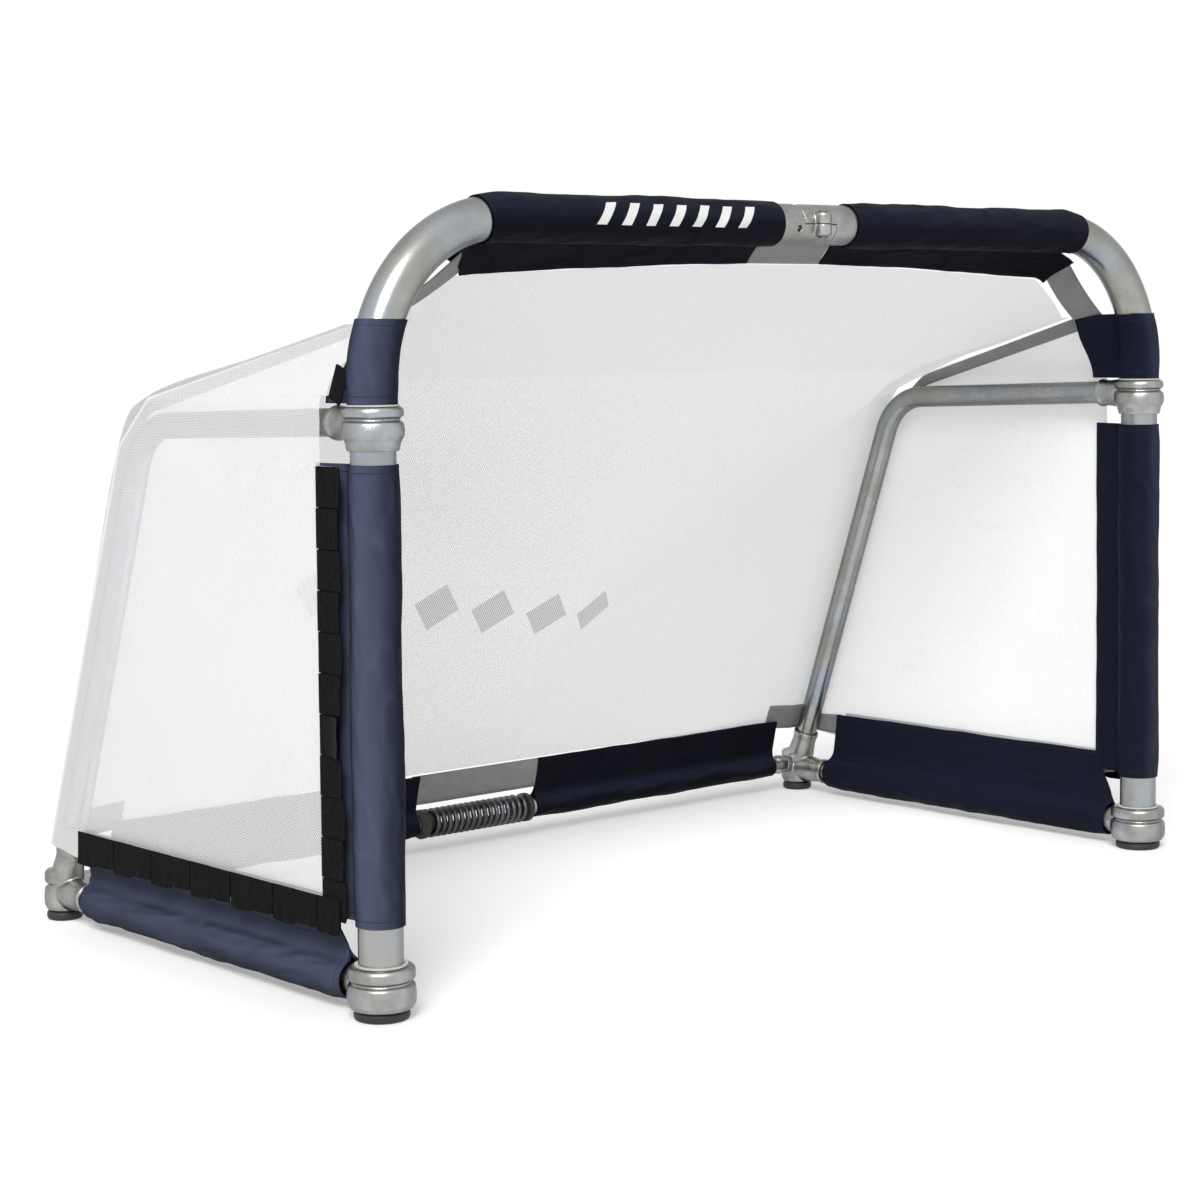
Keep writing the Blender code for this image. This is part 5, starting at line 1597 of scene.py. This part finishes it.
@dataclass(frozen=True)
class MiddleParts:
    """What the two halves share: hinge pin, spring, back net and the tapes in the middle."""

    sizes: GoalSizes = SIZES
    coil_r: float = 0.0186
    wire_r: float = 0.0039
    turns: int = 16
    pitch: float = 0.0115
    lead: float = 0.006
    cover_end: float = 0.56
    sag: float = 0.012
    low_tape_width: float = 0.048

    def pin(self) -> bpy.types.Object:
        """Headed pin of the crossbar hinge."""
        half = 0.0164
        outline = [(0, -half - 0.0025), (0.0049, -half - 0.0025), (0.007, -half - 0.001), (0.007, -half),
                   (0.004, -half), (0.004, half), (0.007, half), (0.007, half + 0.001), (0.0049, half + 0.0025),
                   (0, half + 0.0025)]
        return turned("hinge_pin", outline, at(0, -self.sizes.pin_offset, self.sizes.crossbar_z), sides=40)

    def spring(self) -> bpy.types.Object:
        """Coil spring that joins the two halves of the back bar."""
        half = self.turns * self.pitch / 2
        steps = 28
        points = [at(-half - self.lead, 0, self.coil_r)]
        for i in range(self.turns * steps + 1):
            angle = math.tau * i / steps
            points.append(at(-half + self.pitch * i / steps, self.coil_r * math.sin(angle),
                             self.coil_r * math.cos(angle)))
        points.append(at(half + self.lead, 0, self.coil_r))
        centre = at(0, self.sizes.rear_depth, self.sizes.back_z)
        return sweep("bar_spring", [centre + point for point in points], self.wire_r, 14, rim=0.0006)

    def net_line(self, x: float) -> list[Vector]:
        """Profile of the back net at one place across the goal.

        Args:
            x: place across the goal.

        Returns:
            Evenly spaced points from the crossbar to the back bar.
        """
        z = self.sizes
        bulge = min(abs(x) / (z.post_x - z.side_r - z.gap), 1.0) ** 1.3
        tip = z.crossbar_tail(x) + z.gap + 0.002
        middle_top = at(tip * math.cos(z.slope), z.crossbar_z - tip * math.sin(z.slope))
        seam = z.seam(-0.004)
        side_top = at(z.tail + 0.012, seam[0].y - 0.012)
        corner = clamp((abs(x) - self.cover_end) / (z.post_x - z.side_r - self.cover_end))
        top = middle_top.lerp(side_top, corner)
        tail = z.back_tail_lean * (z.back_tail + 0.002 + z.gap)
        bottom = at(z.rear_depth + tail.y, z.back_z + tail.z).lerp(seam[3], bulge ** 3)
        chord = bottom - top
        normal = at(-chord.y, chord.x).normalized()
        knots = [top]
        for along, at_side in ((0.25, seam[0].lerp(seam[1], 0.5)), (0.5, seam[1]), (0.62, seam[2]),
                               (0.81, seam[2].lerp(seam[3], 0.5))):
            sagging = top + chord * along - normal * self.sag * math.sin(math.pi * along)
            knots.append(sagging.lerp(at_side, bulge))
        knots.append(bottom)
        flat = [at(x, knot.x, knot.y) for knot in knots]
        return spaced(spline(flat, 8), 72)

    def net(self) -> bpy.types.Object:
        """Roof and back of the net as one drawn sheet with puckers at its sewn edges."""
        z = self.sizes
        edge = z.post_x + z.net_offset - 0.0022
        columns = 132
        rows, spots = [], []
        for i in range(columns + 1):
            x = edge * (2 * i / columns - 1)
            line = self.net_line(x)
            row, spot, run = [], [], 0.0
            for k, point in enumerate(line):
                run += (point - line[k - 1]).length if k else 0.0
                t = k / (len(line) - 1)
                onward = line[min(k + 1, len(line) - 1)] - line[max(k - 1, 0)]
                out = at(0, -onward.z, onward.y).normalized() * -1
                inner = smooth_step((edge - abs(x)) / 0.09) * smooth_step(t / 0.12) * smooth_step((1 - t) / 0.12)
                top = (1 - smooth_step(t / 0.14)) * smooth_step(t / 0.03)
                pucker = 0.0022 * top * ripple(x * 34, t * 3, seed=1.0) * smooth_step((edge - abs(x)) / 0.05)
                broad = 0.004 * inner * ripple(x * 3.2, t * 2.5, seed=4.0)
                row.append(point + out * (pucker + broad))
                row[-1].x -= math.copysign((abs(x) / edge) ** 8 * z.pull(point.y), x)
                spot.append((x, run))
            rows.append(row)
            spots.append(spot)
        return grid("back_netting", rows, spots)

    def edge_tape(self, name: str, start: float, end: float, width: float) -> bpy.types.Object:
        """Webbing sewn along the lower edge of the back net between two places across the goal."""
        first, second = [], []
        for i in range(25):
            line = self.net_line(start + (end - start) * i / 24)[::-1]
            run, j = 0.0, 0
            while run < width and j < len(line) - 1:
                run += (line[j + 1] - line[j]).length
                j += 1
            inward = at(0, -0.0012, -0.0006)
            first.append(line[0] + inward)
            second.append(line[j] + inward)
        return Ribbon(name, first, second).build()

    def top_tape(self) -> bpy.types.Object:
        """Webbing that crosses the gap between the crossbar covers."""
        half = 0.0688
        down, base = self.sizes.crossbar_lean, at(0, 0, self.sizes.crossbar_z)
        xs = [-half + 2 * half * i / 24 for i in range(25)]
        first = [base + at(x, 0, 0) + down * 0.0305 for x in xs]
        second = [base + at(x, 0, 0) + down * (0.0305 + self.sizes.tape_width) for x in xs]
        return Ribbon("crossbar_webbing", first, second, cup=at(0, 0.001, 0.001)).build()

    def low_tape(self) -> bpy.types.Object:
        """Webbing that crosses the gap between the back covers, above the spring."""
        z = self.sizes
        half = 0.1322
        lean = z.back_tail_lean
        base = at(0, z.rear_depth, z.back_z)
        xs = [-half + 2 * half * i / 40 for i in range(41)]
        first = [base + at(x, 0, 0) + lean * (z.back_tail - self.low_tape_width) for x in xs]
        second = [base + at(x, 0, 0) + lean * z.back_tail for x in xs]
        return Ribbon("back_webbing", first, second, cup=at(0, -0.001, 0)).build()

    def build(self, fitter: Fitter) -> None:
        """Make the shared pieces."""
        fitter.fit(self.pin(), "pin", "pin", "left_front", "crossbar_hinge_pin")
        spring = fitter.fit(self.spring(), "spring", "spring", None, "back_spring")
        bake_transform(spring)
        low = fitter.fit(self.low_tape(), "webbing", "webbing", None, "bottom_tape")
        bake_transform(low)
        top = fitter.fit(self.top_tape(), "webbing", "webbing", None, "top_tape")
        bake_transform(top)
        self.hang_net(fitter)

    def hang_net(self, fitter: Fitter) -> None:
        """Hang the back net and its edge tapes on the left side frame, each with its own mesh."""
        net = fitter.fit(self.net(), "marked_net", "net", "left_side", "back_net")
        pieces = [net]
        for side in Side:
            start, end = side.value * 0.634, side.value * 0.733
            tape = self.edge_tape(side.name.lower() + "_hem_webbing", start, end, 0.03)
            pieces.append(fitter.fit(tape, "webbing", "webbing", "left_side"))
        for piece in pieces:
            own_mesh(piece)


def seen(graph: Graph) -> Value:
    """One for rays from the camera and for what metal shows, and zero for rays that carry light."""
    path = graph.add("LightPath")
    return path["Is Camera Ray"].most(path["Is Glossy Ray"].most(path["Is Transmission Ray"]))


@dataclass(frozen=True)
class FloorFinish(Finish):
    """Pale matt floor, lifted to white where it is seen."""

    paler: Colour = (0.85, 0.85, 0.85)
    lift: float = 0.25

    def paint(self, graph: Graph) -> dict[str, Any]:
        """Nearly even colour."""
        tone = graph.noise(graph.add("TexCoord")["Object"], 2.0, 2.0)
        return {"Base Color": graph.mix(tone, self.colour, self.paler), "Emission Color": (1.0, 1.0, 1.0),
                "Emission Strength": seen(graph) * self.lift, "Roughness": 0.9, "Specular IOR Level": 0.1}


@dataclass(frozen=True)
class Studio:
    """Plain pale floor, soft lamps and the photograph's camera."""

    eye: Vector = at(-2.5241, -2.78885, 0.8046)
    yaw: float = 0.7242
    pitch: float = -0.0655
    roll: float = -0.0102
    focal_px: float = 2622.47
    shift_px: tuple[float, float] = (0.0, -102.5)
    image_px: float = 1200.0
    key_from: Vector = at(-0.55, -0.52, 0.65)
    key_level: float = 0.84
    key_softness: float = 25.0
    sky_level: float = 0.40

    def camera(self) -> None:
        """Set the camera as the fitted view has it."""
        forward = at(math.sin(self.yaw) * math.cos(self.pitch), math.cos(self.yaw) * math.cos(self.pitch),
                     math.sin(self.pitch))
        right = at(math.cos(self.yaw), -math.sin(self.yaw), 0)
        up = right.cross(forward)
        rolled = right * math.cos(self.roll) + up * math.sin(self.roll)
        up = -right * math.sin(self.roll) + up * math.cos(self.roll)
        data = bpy.data.cameras.new("camera")
        data.sensor_width = 36.0
        data.lens = self.focal_px / self.image_px * data.sensor_width
        data.shift_x = self.shift_px[0] / self.image_px
        data.shift_y = self.shift_px[1] / self.image_px
        data.clip_end = 60.0
        camera = bpy.data.objects.new("camera", data)
        bpy.context.scene.collection.objects.link(camera)
        camera.matrix_world = Matrix((rolled, up, -forward)).transposed().to_4x4()
        camera.location = self.eye
        bpy.context.scene.camera = camera

    def key(self) -> None:
        """Add the soft key light, from the upper left in front."""
        data = bpy.data.lights.new("key", "SUN")
        data.energy, data.angle = self.key_level * math.pi, math.radians(self.key_softness)
        lamp = bpy.data.objects.new("key", data)
        bpy.context.scene.collection.objects.link(lamp)
        lamp.rotation_euler = (-self.key_from).to_track_quat("-Z", "Y").to_euler()

    def floor(self) -> None:
        """Lay the pale floor."""
        bm = bmesh.new()
        bmesh.ops.create_grid(bm, x_segments=2, y_segments=2, size=30.0)
        floor = new_object("studio_floor", bm)
        floor.location.z = -0.0002
        floor.data.materials.append(FloorFinish("pale_floor", (0.84, 0.84, 0.84)).material())

    def world(self) -> None:
        """White surroundings for the camera and reflections, with a plain level of light on the goal."""
        world = bpy.data.worlds.new("studio")
        world.use_nodes = True
        bpy.context.scene.world = world
        graph = Graph(world.node_tree)
        graph.feed(world.node_tree.nodes["Background"],
                   {"Color": (1.0, 1.0, 1.0), "Strength": graph.span(seen(graph), 0.0, 1.0, self.sky_level, 1.0)})

    def build(self) -> None:
        """Set up the studio."""
        self.floor()
        self.world()
        self.camera()
        self.key()


def main() -> None:
    """Load the frame, dress it and set up the studio."""
    logging.basicConfig(level=logging.INFO, format="%(name)s %(message)s")
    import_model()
    bpy.context.scene.view_settings.view_transform = "Standard"
    fitter = Fitter({name: finish.material() for name, finish in FINISHES.items()})
    for side in Side:
        for part in (FrontHalf(side), SideFrame(side), BackHalf(side)):
            part.build(fitter)
            LOG.info("%s %s is done", part.label, type(part).__name__)
    MiddleParts().build(fitter)
    Studio().build()
    LOG.info("%d pieces", fitter.count)


if __name__ == "__main__":
    main()
